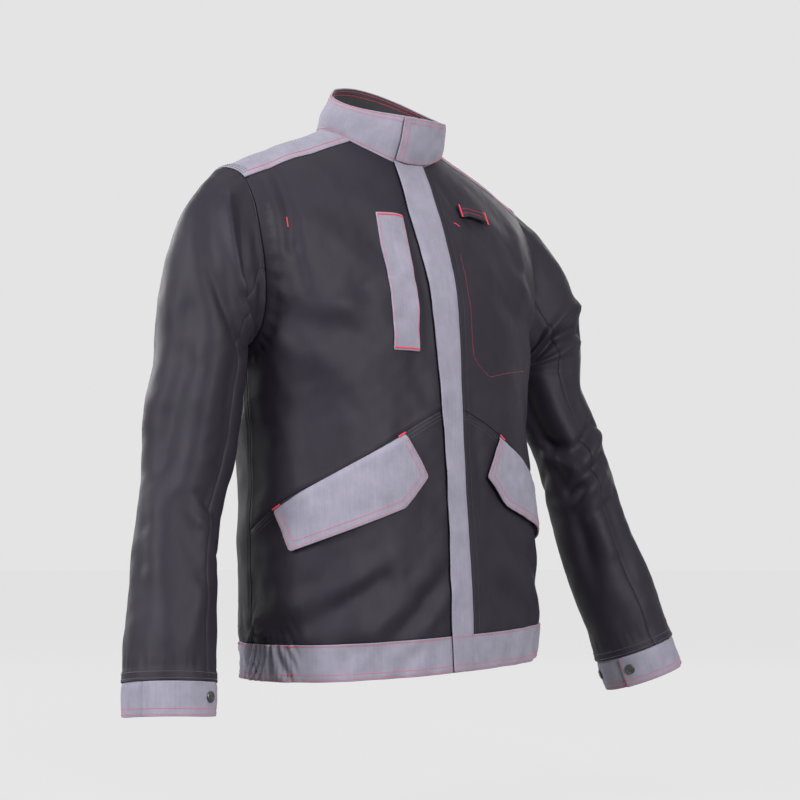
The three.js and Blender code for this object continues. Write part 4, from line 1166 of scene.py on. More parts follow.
for side, s in SIDES:
    parts = upper_outline(s)
    lap = parts[5]
    rel = seam_relief([(lap, TRIPLE), (parts[2], [(0, 2.0, -0.5)]), (parts[4], [(3.0, 2.0, 0.4)])])
    po_, ex_ = with_allowance(parts, [2], rel)
    o = cloth_piece(side + "_front_upper_cloth", BODY, po_, 0.1, -1.4, M_CHAR, "charcoal_satin", cell=4.2, rim=1.1, rows=ROWS, extra=ex_, replaces=[side + "_front_upper"])
    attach(o, "shell")
    # topstitching: three rows over the pocket seam, two on the body side of the armhole, two at the side seam
    turn = -s
    for d in (2.2, 6.2, 10.2):
        dark.run(BODY, inset(lap, turn * -d)[2:-3], 0.12)
    arc = parts[3]
    for d in (2.2, 8.4):
        dark.run(BODY, inset_true(BODY, arc, turn * -d)[2:-2], 0.12)
    for d in (2.2, 8.0):
        dark.run(BODY, inset(parts[4], turn * -d)[3:-3], 0.12)

    # lower front
    zs = np.linspace(177.5, HEM_BAND, 30)
    p = np.column_stack([s * side_at(SIDE_LINE(zs), zs), SIDE_LINE(zs), zs])
    sd = body_uv(p[:, 0], p[:, 1], p[:, 2])
    ph = np.linspace(0.2, abs(float(phi_of(sd[0, 0]))), 90)
    top = np.column_stack([arc_of(s * ph), POCKET_SEAM(ph)])
    top[-1] = sd[0]
    ph = np.linspace(abs(float(phi_of(sd[-1, 0]))), 0.2, 90)
    bot = np.column_stack([arc_of(s * ph), np.full(90, HEM_BAND)])
    bot[0] = sd[-1]
    ctr = np.column_stack([np.full(40, arc_of(s * 0.2)), np.linspace(HEM_BAND, float(POCKET_SEAM(0.2)), 40)])
    rel = seam_relief([(top, [(0.5, 2.0, -0.9)]), (bot, [(0.5, 2.2, -0.6)])])
    po_, ex_ = with_allowance([top, sd, bot, ctr], [0, 2], rel)
    o = cloth_piece(side + "_front_lower_cloth", BODY, po_, 0.0, -1.4, M_CHAR, "charcoal_satin", cell=3.8, rim=1.1, rows=ROWS, extra=ex_, replaces=[side + "_front_lower"])
    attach(o, "shell")
    for d in (2.2, 8.0):
        dark.run(BODY, inset(sd, turn * -d)[1:-1], 0.12)

# back panel
pz = np.linspace(HEM_BAND, arm[i_pit, 2], 80)
sl = np.column_stack([side_at(SIDE_LINE(pz), pz), SIDE_LINE(pz), pz])
sl[-1] = arm[i_pit]
b1 = body_uv(sl[:, 0], sl[:, 1], sl[:, 2], True)
a = arm_part(1, i_pit, i_yoke_b)
b2 = body_uv(a[:, 0], a[:, 1], a[:, 2], True)
xe = arm[i_yoke_b, 0]
xs = np.linspace(xe, -xe, 120)
p = torso_xz(xs, np.full(120, YOKE_BACK_Z), True)
b3 = body_uv(p[:, 0], p[:, 1], p[:, 2], True)
mirror = lambda uv: np.column_stack([2 * arc_of(180.0) - uv[:, 0], uv[:, 1]])[::-1]
b4, b5 = mirror(b2), mirror(b1)
b6 = np.column_stack([np.linspace(b5[-1, 0], b1[0, 0], 120), np.full(120, HEM_BAND)])
parts = [b1, b2, b3, b4, b5, b6]
for k in range(6):
    parts[k][-1] = parts[(k + 1) % 6][0]
rel = seam_relief([(b3, [(0.5, 2.2, -0.7)]), (b6, [(0.5, 2.2, -0.6)]), (b1, [(0.3, 2.0, -0.5)]), (b5, [(0.3, 2.0, -0.5)])])
po_, ex_ = with_allowance(parts, [0, 2, 4, 5], rel)
o = cloth_piece("back_panel_cloth", BODY, po_, 0.0, -1.4, M_CHAR, "charcoal_satin", cell=4.4, rim=1.1, rows=ROWS, extra=ex_, replaces=["back_panel"])
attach(o, "shell")
for d in (2.2, 8.4):
    for q, g in ((b2, 1), (b4, 1)):
        dark.run(BODY, inset_true(BODY, q, d)[2:-2], 0.12)

# shoulder yoke: one piece over both shoulders and the upper back
yl = []
xs = np.linspace(arm[i_yoke_f, 0], neck[j_neck, 0], 50)
p = torso_xz(xs, YOKE_FRONT(xs))
p[0], p[-1] = arm[i_yoke_f], neck[j_neck]
front_left = yoke_uv(p[:, 0], p[:, 1], p[:, 2])
nk = neck[j_neck:]
nl = yoke_uv(nk[:, 0], nk[:, 1], nk[:, 2])
nr = nl[::-1] * [-1, 1]
front_right = front_left[::-1] * [-1, 1]
ar = arm_part(1, i_yoke_b, i_yoke_f)
al = yoke_uv(ar[:, 0], ar[:, 1], ar[:, 2])        # left armhole: back seam, over the shoulder, to the front seam
ar_ = al[::-1] * [-1, 1]
xs = np.linspace(-xe, xe, 130)
p = torso_xz(xs, np.full(130, YOKE_BACK_Z), True)
bk = yoke_uv(p[:, 0], p[:, 1], p[:, 2])
parts = [front_left, nl, nr, front_right, ar_, bk, al]
for k in range(7):
    parts[k][-1] = parts[(k + 1) % 7][0]
rel = seam_relief([(front_left, [(1.2, 2.4, 0.5)] + [(2.4, 0.8, -0.3), (7.6, 0.8, -0.3)]), (front_right, [(1.2, 2.4, 0.5)] + [(2.4, 0.8, -0.3), (7.6, 0.8, -0.3)]), (bk, [(1.2, 2.4, 0.5)] + [(2.4, 0.8, -0.3), (7.6, 0.8, -0.3)])])
o = cloth_piece("shoulder_yoke_cloth", YOKE, outline(parts, 3.2), 0.7, -1.3, M_GREY, "grey_twill", cell=4.2, rim=1.2, rows=ROWS, extra=rel, replaces=["shoulder_yoke"])
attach(o, "shell")
for line, g in ((front_left, -1), (front_right, -1), (bk, 1)):
    sgn = 1
    # the side of the line that lies on the yoke is found by trying
    for d in (2.4, 7.6):
        for trial in (d, -d):
            q = inset(line, trial)
            mid = q[len(q) // 2][None]
            if inside(mid, outline(parts, 6.0))[0]:
                red.run(YOKE, q[2:-2], 0.8, pitch=3.2)
                break
poly_yoke = outline(parts, 6.0)
for line in (al, ar_):
    for d in (2.2, 5.6, 9.0):
        for trial in (d, -d):
            q = inset_true(YOKE, line, trial)
            if inside(q[len(q) // 2][None], poly_yoke)[0]:
                dark.run(YOKE, q[2:-2], 0.8, pitch=3.2)
                break

# ------------------------------------------------------------------ hem band and side elastics
def rect(u0, u1, v0, v1, step=3.0):
    return outline([np.array([[u0, v0], [u1, v0]]), np.array([[u1, v0], [u1, v1]]), np.array([[u1, v1], [u0, v1]]), np.array([[u0, v1], [u0, v0]])], step)


band_relief = lambda V2, d: -0.35 * np.exp(-(((V2[:, 1] - 2.2) / 0.9) ** 2)) - 0.35 * np.exp(-(((V2[:, 1] - 8.2) / 0.9) ** 2)) - 0.35 * np.exp(-(((V2[:, 1] - 41.6) / 0.9) ** 2)) + 0.35 * np.exp(-(((V2[:, 1] - 5.2) / 1.6) ** 2))
for side, s in SIDES:
    u0, u1 = sorted([float(arc_of(s * 0.2)), float(arc_of(s * 91.6))])
    o = cloth_piece(side + "_hem_band_cloth", BODY, rect(u0, u1, 0, HEM_BAND, 2.2), 1.0, -1.5, M_GREY, "grey_twill", cell=2.3, rim=1.2, rows=(2.2, 3.4), extra=band_relief, held="gathered", replaces=[side + "_hem_band"])
    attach(o, "shell")
    o = cloth_piece(side + "_side_elastic_band", BODY, rect(*sorted([float(arc_of(s * 70)), float(arc_of(s * 112))]), 7, HEM_BAND - 7), -2.4, -4.4, M_ELASTIC, "elastic", cell=3, rim=0.8, held="stretched", replaces=[side + "_side_elastic"])
    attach(o, "shell")
u0, u1 = float(arc_of(91.6)), float(arc_of(268.4))
o = cloth_piece("back_hem_band_cloth", BODY, rect(u0, u1, 0, HEM_BAND, 2.4), 1.0, -1.5, M_GREY, "grey_twill", cell=2.5, rim=1.2, rows=(2.2, 3.4), extra=band_relief, held="gathered", replaces=["back_hem_band"])
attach(o, "shell")
for v in (2.2, 8.2, 41.6):
    red.run(BODY, [[arc_of(-91), v], [arc_of(-4.5), v]], 1.05, pitch=3.4)
    red.run(BODY, [[arc_of(4.2), v], [arc_of(91), v]], 1.05, pitch=3.4)
    red.run(BODY, [[u0 + 1, v], [u1 - 1, v]], 1.05, pitch=3.4)
for s in (-1, 1):  # bars where the elastic is held
    for v in (8.2, 41.6):
        for ph in (69, 113):
            uu = float(arc_of(s * ph))
            red.bar(BODY, (uu - 6, v), (uu + 6, v), 1.2, width=1.3)

# ------------------------------------------------------------------ front closure
def flap_curl(V2, d):
    fr = np.clip((FLAP_SEAM(V2[:, 1]) - V2[:, 0]) / 33, 0, 1)
    out = 0.5 * N_MID(np.column_stack([V2[:, 0] * 0.6, V2[:, 1] * 0 + 40, V2[:, 1] * 1.1])) * smooth(fr * 1.4)
    out += -2.5 * np.exp(-(((V2[:, 0] - FLAP_SEAM(V2[:, 1])) / 3.2) ** 2))
    out += -0.9 * smooth((V2[:, 1] - 596) / 30)
    return out


zz = np.linspace(1.0, 631, 200)
fo = outline([np.column_stack([FLAP_SEAM(zz), zz]), np.array([[float(FLAP_SEAM(631)), 631.0], [float(FLAP_FREE(631)), 631.0]]), np.column_stack([FLAP_FREE(zz[::-1]), zz[::-1]]), np.array([[float(FLAP_FREE(1)), 1.0], [float(FLAP_SEAM(1)), 1.0]])], 3.0)
flap = cloth_piece("storm_flap_cloth", FRONT_XZ, fo, 5.0, 2.9, M_GREY, "grey_twill", cell=3.4, rim=1.1, rows=(2.2,), extra=flap_curl, replaces=["storm_flap"])
line = lambda v, x0, x1: np.column_stack([np.linspace(x0, x1, 8), np.full(8, float(v))])
fx = lambda V2: flap_curl(V2, None)
for v in (3.4, 9.4, 42.6):
    flap_red.run(FRONT_XZ, line(v, float(FLAP_FREE(v)) + 1.5, float(FLAP_SEAM(v)) - 0.5), 5.05, pitch=3.2, extra=fx)


def flap_weight(P):
    x, z = P[:, 0], P[:, 2]
    w = smooth((FLAP_SEAM(z) + 0.5 - x) / 9.0)
    return w * smooth((634 - z) / 46)


set_weights(flap, flap_weight(hem_coords(flap)))
flap_st = flap_red.make("storm_flap_stitching", M_RED)
set_weights(flap_st, flap_weight(hem_coords(flap_st)))
# topstitching on the left front, beside the flap's seam
for dx in (3.4, 10.5):
    zz = np.linspace(46, 640 if dx < 5 else 622, 160)
    dark.run(FRONT_XZ, np.column_stack([FLAP_SEAM(np.minimum(zz, 628)) + dx, zz]), 0.3)


def bare_piece(name, surf, poly, o1, o2, mat, slot, node, cell=7.0, rim=0.5, body="shell", **k):
    o = cloth_piece(name, surf, poly, o1, o2, mat, slot, cell=cell, rim=rim, replaces=[node], **k)
    if body:
        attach(o, body)
    return o


bare_piece("left_front_facing_cloth", FRONT_XZ, rect(2, 58, 50, 618), -2.3, -3.3, M_LINING, "dark_lining", "left_front_facing")
bare_piece("right_fly_underlap_cloth", FRONT_XZ, rect(-34, 30, 50, 606), -7.6, -8.8, M_LINING, "dark_lining", "right_fly_underlap")


# ---- round parts: lathe from [radius, height]
def lathe(name, profile, P, n, seg, mat, body, node, smooth_deg=35):
    n = n / np.linalg.norm(n)
    a = np.cross(n, [0, 0, 1.0])
    a /= np.linalg.norm(a)
    b = np.cross(n, a)
    V, F = [], []
    pr = np.array(profile, float)
    for r, h in pr:
        for k in range(seg):
            w = 2 * math.pi * k / seg
            V.append(P + n * h + (a * math.cos(w) + b * math.sin(w)) * max(r, 1e-4))
    m = len(pr)
    ring = pr[0][0] > 0.01
    last = m if ring else m - 1
    for i in range(last):
        for k in range(seg):
            j, kk = (i + 1) % m, (k + 1) % seg
            F.append((i * seg + k, i * seg + kk, j * seg + kk, j * seg + k))
    o = to_mesh(name, row(np.array(V)), F, None, mat)
    import bmesh
    bm = bmesh.new()
    bm.from_mesh(o.data)
    bmesh.ops.remove_doubles(bm, verts=bm.verts, dist=2e-6)
    bmesh.ops.dissolve_degenerate(bm, edges=bm.edges, dist=1e-7)
    bmesh.ops.recalc_face_normals(bm, faces=bm.faces)
    bm.to_mesh(o.data)
    bm.free()
    for pl in o.data.polygons:
        pl.use_smooth = True
    mod = o.modifiers.new("edges", "BEVEL")
    mod.width, mod.segments, mod.limit_method, mod.angle_limit = 0.00025, 2, "ANGLE", math.radians(40)
    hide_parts(node)
    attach(o, body)
    return o


SOCKET = [[3.1, -5.2], [6.6, -5.2], [7.0, -4.9], [7.0, -4.2], [6.6, -3.9], [5.2, -3.7], [3.6, -3.9], [3.1, -4.2]]
STUDP = [[0, -7.1], [5.6, -7.1], [6.0, -6.7], [6.0, -5.9], [5.6, -5.6], [3.0, -5.5], [2.6, -5.2], [2.3, -4.6], [2.55, -4.3], [2.0, -4.05], [0, -4.0]]
for i, z in enumerate(SNAP_Z):
    P, n = FRONT_XZ.point(np.array([[SNAP_X, float(z)]]), 0.0)
    lathe(f"fly_socket_ring_{i + 1}", SOCKET, P[0], n[0], 32, M_STUD, "shell", f"fly_socket_{i + 1}")
    lathe(f"fly_stud_post_{i + 1}", STUDP, P[0], n[0], 32, M_STUD, "shell", f"fly_stud_{i + 1}")

# ------------------------------------------------------------------ collar
CU, CV = 1.4, 66.0
lip = lambda V2, d: -0.3 * np.exp(-(((V2[:, 1] - (CV - 2.6)) / 0.9) ** 2)) - 0.3 * np.exp(-(((V2[:, 1] - (CV - 8.6)) / 0.9) ** 2)) + 0.35 * np.exp(-(((V2[:, 1] - (CV - 5.6)) / 1.8) ** 2)) - 0.4 * np.exp(-(((V2[:, 1] - 3) / 1.6) ** 2))
o = cloth_piece("collar_outer_cloth", COLLAR, rect(1 * CU, 359 * CU, -1.8, CV, 2.6), 0.3, -1.5, M_GREY, "grey_twill", cell=3.2, rim=0.9, rows=(2.2, 3.6), extra=lip, replaces=["collar_outer"])
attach(o, "shell")
bare_piece("collar_lining_cloth", COLLAR, rect(2 * CU, 358 * CU, 1, CV - 0.6, 2.6), -1.9, -3.1, M_LINING, "dark_lining", "collar_lining", cell=4.0, rim=0.6)
for v in (CV - 2.6, CV - 8.6, 3.0):
    collar_red.run(COLLAR, [[-16 * CU + 360 * CU, v], [47 * CU, v]][::-1], 0.4, pitch=3.2)
for v in (CV - 3.4, CV - 8.8):
    q = resample([[4 * CU, v], [356 * CU, v]], 2.0, closed=False)
    t = Thread()
    t.run(COLLAR, q, -3.2, pitch=3.2)
    for V, in zip(t.V):
        collar_red.push(V, t.F)
collar_st = collar_red.make("collar_stitching", M_RED)
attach(collar_st, "shell")


def tab_lift(V2, d=None):
    return 0.25 * N_MID(np.column_stack([V2 * 1.2, np.full(len(V2), 30.0)]))


tab_poly = rect(-17 * CU, 46 * CU, 0.05 * CV, 0.985 * CV, 2.6)
corner = np.array([-17 * CU, 0.985 * CV])
tab_poly = np.array([p if np.linalg.norm(p - corner) > 3 else corner + (p - corner) + np.array([1.2, -1.2]) * (1 - np.linalg.norm(p - corner) / 3) for p in tab_poly])
tab = cloth_piece("collar_tab_cloth", COLLAR, tab_poly, 4.7, 2.8, M_GREY, "grey_twill", cell=3.0, rim=1.0, rows=(2.2, 3.4), extra=tab_lift, replaces=["collar_tab"])
x0, x1, y0, y1 = -17 * CU, 46 * CU, 0.05 * CV, 0.985 * CV
for d in (2.4, 8.0):
    tab_red.run(COLLAR, [[x1 - 1, y1 - d], [x0 + d, y1 - d], [x0 + d, y0 + (2.4 if d < 3 else 2.4)]], 4.75, pitch=3.1, extra=tab_lift)
tab_red.run(COLLAR, [[x0 + 2.4, y0 + 2.4], [x1 - 1, y0 + 2.4]], 4.75, pitch=3.1, extra=tab_lift)
tab_red.run(COLLAR, [[x1 - 2, y0 + 3], [x1 - 2, y1 - 3]], 4.75, pitch=3.1, extra=tab_lift)
tab_st = tab_red.make("collar_tab_stitching", M_RED)
hook = cloth_piece("collar_tab_hook_pad", COLLAR, rect(-14 * CU, -5 * CU, 0.2 * CV, 0.82 * CV, 2.0), 2.7, 1.75, M_TAPE, "hook_and_loop", cell=2.5, rim=0.4, replaces=["collar_tab_hook"])
bare_piece("collar_loop_tape_pad", COLLAR, rect(-15.5 * CU, -3 * CU, 0.16 * CV, 0.86 * CV, 2.0), 1.5, 0.3, M_TAPE, "hook_and_loop", "collar_loop_tape", cell=2.5, rim=0.4)


def collar_theta(P):
    v = np.clip((P[:, 2] - 640) / 60, 0, 1)
    cy = 20 * (1 - v)
    return np.degrees(np.arctan2(P[:, 0] / lerp(86, 78, v), (cy - P[:, 1]) / lerp(65, 62, v)))


for o in (tab, tab_st, hook):
    P = hem_coords(o)
    set_weights(o, smooth((46 - collar_theta(P)) / 9))

# ------------------------------------------------------------------ chest welt, pockets and radio loop
wm = lambda u, v: (lerp(lerp(-87, -83, v), lerp(-49, -42, v), u), lerp(387, 557, v))
wp = np.array([wm(0, 0), wm(1, 0), wm(1, 1), wm(0, 1)])
wo = outline([wp[[0, 1]], wp[[1, 2]], wp[[2, 3]], wp[[3, 0]]], 2.4)
wx = lambda V2, d=None: 0.35 * N_MID(np.column_stack([V2 * 1.3, np.full(len(V2), 10.0)])) + 0.2 * N_FINE(np.column_stack([V2, np.full(len(V2), 3.0)]))
o = cloth_piece("chest_pocket_welt_cloth", FRONT_XZ, wo, 2.7, 0.3, M_GREY, "grey_twill", cell=2.8, rim=1.0, rows=(2.0, 3.2), extra=wx, replaces=["chest_pocket_welt"])
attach(o, "shell")
for a, b in (((0.055, 0.004), (0.055, 0.996)), ((0.945, 0.004), (0.945, 0.996))):
    red.run(FRONT_XZ, [wm(*a), wm(*b)], 2.75, pitch=3.0, length=2.3, r=0.24, extra=wx)
for v in (0.018, 0.984):
    red.bar(FRONT_XZ, wm(0.04, v), wm(0.96, v), 2.9, width=2.1, r=0.32, extra=wx)
bare_piece("chest_pocket_bag_cloth", FRONT_XZ, rect(-166, -44, 378, 548), -5.6, -6.8, M_LINING, "dark_lining", "chest_pocket_bag")
bare_piece("left_inner_pocket_cloth", FRONT_XZ, rect(64, 160, 368, 512), -5.6, -6.8, M_LINING, "dark_lining", "left_inner_pocket")
# small bars on the fronts, and the inner pocket's stitching showing through
red.bar(FRONT_XZ, (-198, 541), (-198.6, 530), 0.4, width=1.5)
red.bar(FRONT_XZ, (41, 556), (50, 553), 0.4, width=1.5)
red.run(FRONT_XZ, [(39, 516), (37.5, 440), (38, 386), (46, 374), (65, 361), (102, 368), (154, 374)], 0.2, pitch=3.4, length=2.2, r=0.2)


def stand_frame(x, z, off, roll):
    P, n = FRONT_XZ.point(np.array([[x, z]]), off)
    n = n[0]
    up = np.array([0, 0, 1.0]) - n * n[2]
    up /= np.linalg.norm(up)
    right = np.cross(up, n)
    c, s = math.cos(roll), math.sin(roll)
    return P[0], right * c + up * s, up * c - right * s, n


RP, RX, RY, RN = stand_frame(84.0, 572.0, 0.9, math.radians(-8))


class Flat(Surf):
    """strip over a frame, with its height given along its length"""

    def __init__(self, P, X, Y, Z, height):
        self.P, self.X, self.Y, self.Z, self.h, self.warp, self.disp, self.sign = P, X, Y, Z, height, (lambda q: q), None, 1.0
        self.outward = lambda q: np.tile(Z, (len(q), 1))
        self.f = lambda uv: P + np.outer(uv[:, 0], X) + np.outer(uv[:, 1], Y) + np.outer(height(uv), Z)


loop_h = lambda uv: 0.6 + (4.6 - 0.6 + 0.6 * np.clip(-uv[:, 1] / 9.5, -1, 1)) * smooth((22 - np.abs(uv[:, 0])) / 7.5)
LOOP = Flat(RP, RX, RY, RN, loop_h)
o = cloth_piece("radio_loop_strap", LOOP, rect(-26, 26, -9.5, 9.5, 1.8), 1.5, -0.1, M_CHAR, "charcoal_satin", cell=1.9, rim=0.8, rows=(1.6,), replaces=["radio_loop"])
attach(o, "shell")
for v in (-3.6, 3.4):
    red.run(LOOP, [(-21, v), (21, v)], 1.55, pitch=3.0, length=2.3, r=0.24)
for u in (-23.4, 23.4):
    red.bar(LOOP, (u, -9.4), (u, 9.4), 1.6, width=2.6, r=0.34)

# ------------------------------------------------------------------ lower pockets
flap_pieces = {}
for side, s in SIDES:
    top, low = [[21, 286.5], [75.8, 198.5]], [[13, 235], [23, 198], [66.2, 151]]

    def fmap(u, v, top=top, low=low, s=s):
        ax = lerp(top[0][0], top[1][0], u)
        az = lerp(top[0][1], top[1][1], u) - 4 * math.sin(math.pi * u)
        k = 0.16
        if u < k:
            b = (lerp(low[0][0], low[1][0], u / k), lerp(low[0][1], low[1][1], u / k))
        else:
            b = (lerp(low[1][0], low[2][0], (u - k) / (1 - k)), lerp(low[1][1], low[2][1], (u - k) / (1 - k)))
        return (float(arc_of(s * lerp(ax, b[0], v))), lerp(az, b[1], v))

    tp = np.array([fmap(u, 0) for u in np.linspace(0, 1, 30)])
    c1, c2, c3 = np.array(fmap(0, 1)), np.array(fmap(0.16, 1)), np.array(fmap(1, 1))

    def rounded(p, q, r, rad_):
        a = (p - q) / np.linalg.norm(p - q)
        b = (r - q) / np.linalg.norm(r - q)
        t = np.linspace(0, 1, 6)[:, None]
        A, B = q + a * rad_, q + b * rad_
        return (1 - t) ** 2 * A + 2 * t * (1 - t) * q + t * t * B

    R3, R2, R1 = rounded(tp[-1], c3, c2, 3.5), rounded(c3, c2, c1, 3.0), rounded(c2, c1, tp[0], 4.0)
    path = np.vstack([tp[-1:], R3, R2, R1, tp[:1]])
    po = outline([tp, path], 2.4)
    seam_line = tp.copy()

    def lift(V2, d=None, seam_line=seam_line):
        r = open_distance(V2, seam_line)
        return 1.3 * smooth((r - 8) / 40) - 2.8 * smooth((5 - r) / 5) + 0.3 * N_MID(np.column_stack([V2, np.full(len(V2), 5.0)])) + 0.15 * N_FINE(np.column_stack([V2, np.full(len(V2), 5.0)]))

    pf = cloth_piece(side + "_pocket_flap_cloth", BODY, po, 5.3, 3.1, M_GREY, "grey_twill", cell=2.9, rim=1.1, rows=(2.2, 3.6), extra=lift, replaces=[side + "_pocket_flap"])
    rows_ = Thread()
    core = np.array([tp[-1], c3, c2, c1, tp[0]])
    for d, rr in ((2.6, 0.3), (9.6, 0.3)):
        full = inset_loop(np.vstack([core, tp[5:-5][:: 6]]), d)
        q = full[:5].copy()
        q[0] = tp[-1] + (q[1] - q[0]) * 0.02 + (q[0] - tp[-1]) * 0.96
        q[4] = tp[0] + (q[4] - tp[0]) * 0.96
        rows_.run(BODY, q, 5.35, pitch=3.2, extra=lift, r=rr)
    st = rows_.make(side + "_pocket_flap_stitching", M_RED)
    flap_pieces[side] = (pf, st)
    # bars across the flap's two upper corners, sewn to the shell
    for e0, e1 in ((tp[0], tp[3]), (tp[-1], tp[-4])):
        dd = (e1 - e0) / np.linalg.norm(e1 - e0)
        up = np.array([-dd[1], dd[0]])
        if up[1] < 0:
            up = -up
        red.bar(BODY, e0 - dd * 1.0 + up * 1.2, e0 + dd * 11 + up * 1.2, 2.4, width=2.4, r=0.36)
    tape = lambda u, v: fmap(lerp(0.34, 0.62, u), lerp(0.42, 0.84, v))
    tq = outline([np.array([tape(0, 0), tape(1, 0)]), np.array([tape(1, 0), tape(1, 1)]), np.array([tape(1, 1), tape(0, 1)]), np.array([tape(0, 1), tape(0, 0)])], 2.4)
    hk = cloth_piece(side + "_flap_hook_pad", BODY, tq, 3.05, 1.9, M_TAPE, "hook_and_loop", cell=3.0, rim=0.4, extra=lift, replaces=[side + "_flap_hook_tape"])
    bare_piece(side + "_flap_loop_pad", BODY, tq, 1.3, 0.2, M_TAPE, "hook_and_loop", side + "_flap_loop_tape", cell=3.0, rim=0.4)
    for o in (pf, st, hk):
        P = hem_coords(o)
        P[:, 2] -= 0.045 * P[:, 0] * smooth((330 - P[:, 2]) / 290)
        uvq = body_uv(P[:, 0], P[:, 1], P[:, 2])
        r = open_distance(uvq, seam_line)
        set_weights(o, smooth(r / 9.0))
    ph = np.linspace(18, 70, 30)
    bag = [np.column_stack([arc_of(s * ph), POCKET_SEAM(ph) - 14]), np.array([[float(arc_of(s * 70)), float(POCKET_SEAM(70)) - 14], [float(arc_of(s * 70)), 72]]), np.array([[float(arc_of(s * 70)), 72.0], [float(arc_of(s * 18)), 72.0]]), np.array([[float(arc_of(s * 18)), 72.0], [float(arc_of(s * 18)), float(POCKET_SEAM(18)) - 14]])]
    bare_piece(side + "_pocket_bag_cloth", BODY, outline(bag, 5.0), -5.6, -6.8, M_LINING, "dark_lining", side + "_pocket_bag")

# ------------------------------------------------------------------ nape
tt = np.linspace(0, 1, 40)


def strap_f(uv):
    q = uv[:, 0] / 64 + 0.5
    return np.column_stack([uv[:, 0], 72.6 - 5.2 * np.sin(math.pi * np.clip(q, 0, 1)), 686 + uv[:, 1]])


STRAP = Surf(strap_f, lambda P: np.tile([0, -1.0, 0], (len(P), 1)), None, warp_top)
o = cloth_piece("hanger_loop_strap", STRAP, rect(-32, 32, -5, 5, 1.6), 0.1, -1.4, M_CHAR, "charcoal_satin", cell=1.7, rim=0.7, replaces=["hanger_loop"])
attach(o, "shell")
for u in (-30, 30):
    red.bar(STRAP, (u, -3.6), (u, 3.6), 0.2, width=2.0, r=0.3)
P, n = BACK_XZ.point(np.array([[0.0, 640.0]]), -6.5)
n = n[0]
up = np.array([0, 0, 1.0]) - n * n[2]
up /= np.linalg.norm(up)
LAB = Flat(P[0], np.cross(up, n), up, n, lambda uv: 0.5 * np.sin(uv[:, 0] / 9.0) * np.cos(uv[:, 1] / 11.0))
o = cloth_piece("care_label_blank", LAB, rect(-19, 19, -12, 12, 2.0), 0.4, -0.4, M_LABEL, "label", cell=2.4, rim=0.3, replaces=["care_label"])
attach(o, "shell")

red_shell = red.make("shell_red_stitching", M_RED)
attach(red_shell, "shell")
dark_shell = dark.make("shell_dark_stitching", M_BLACK)
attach(dark_shell, "shell")

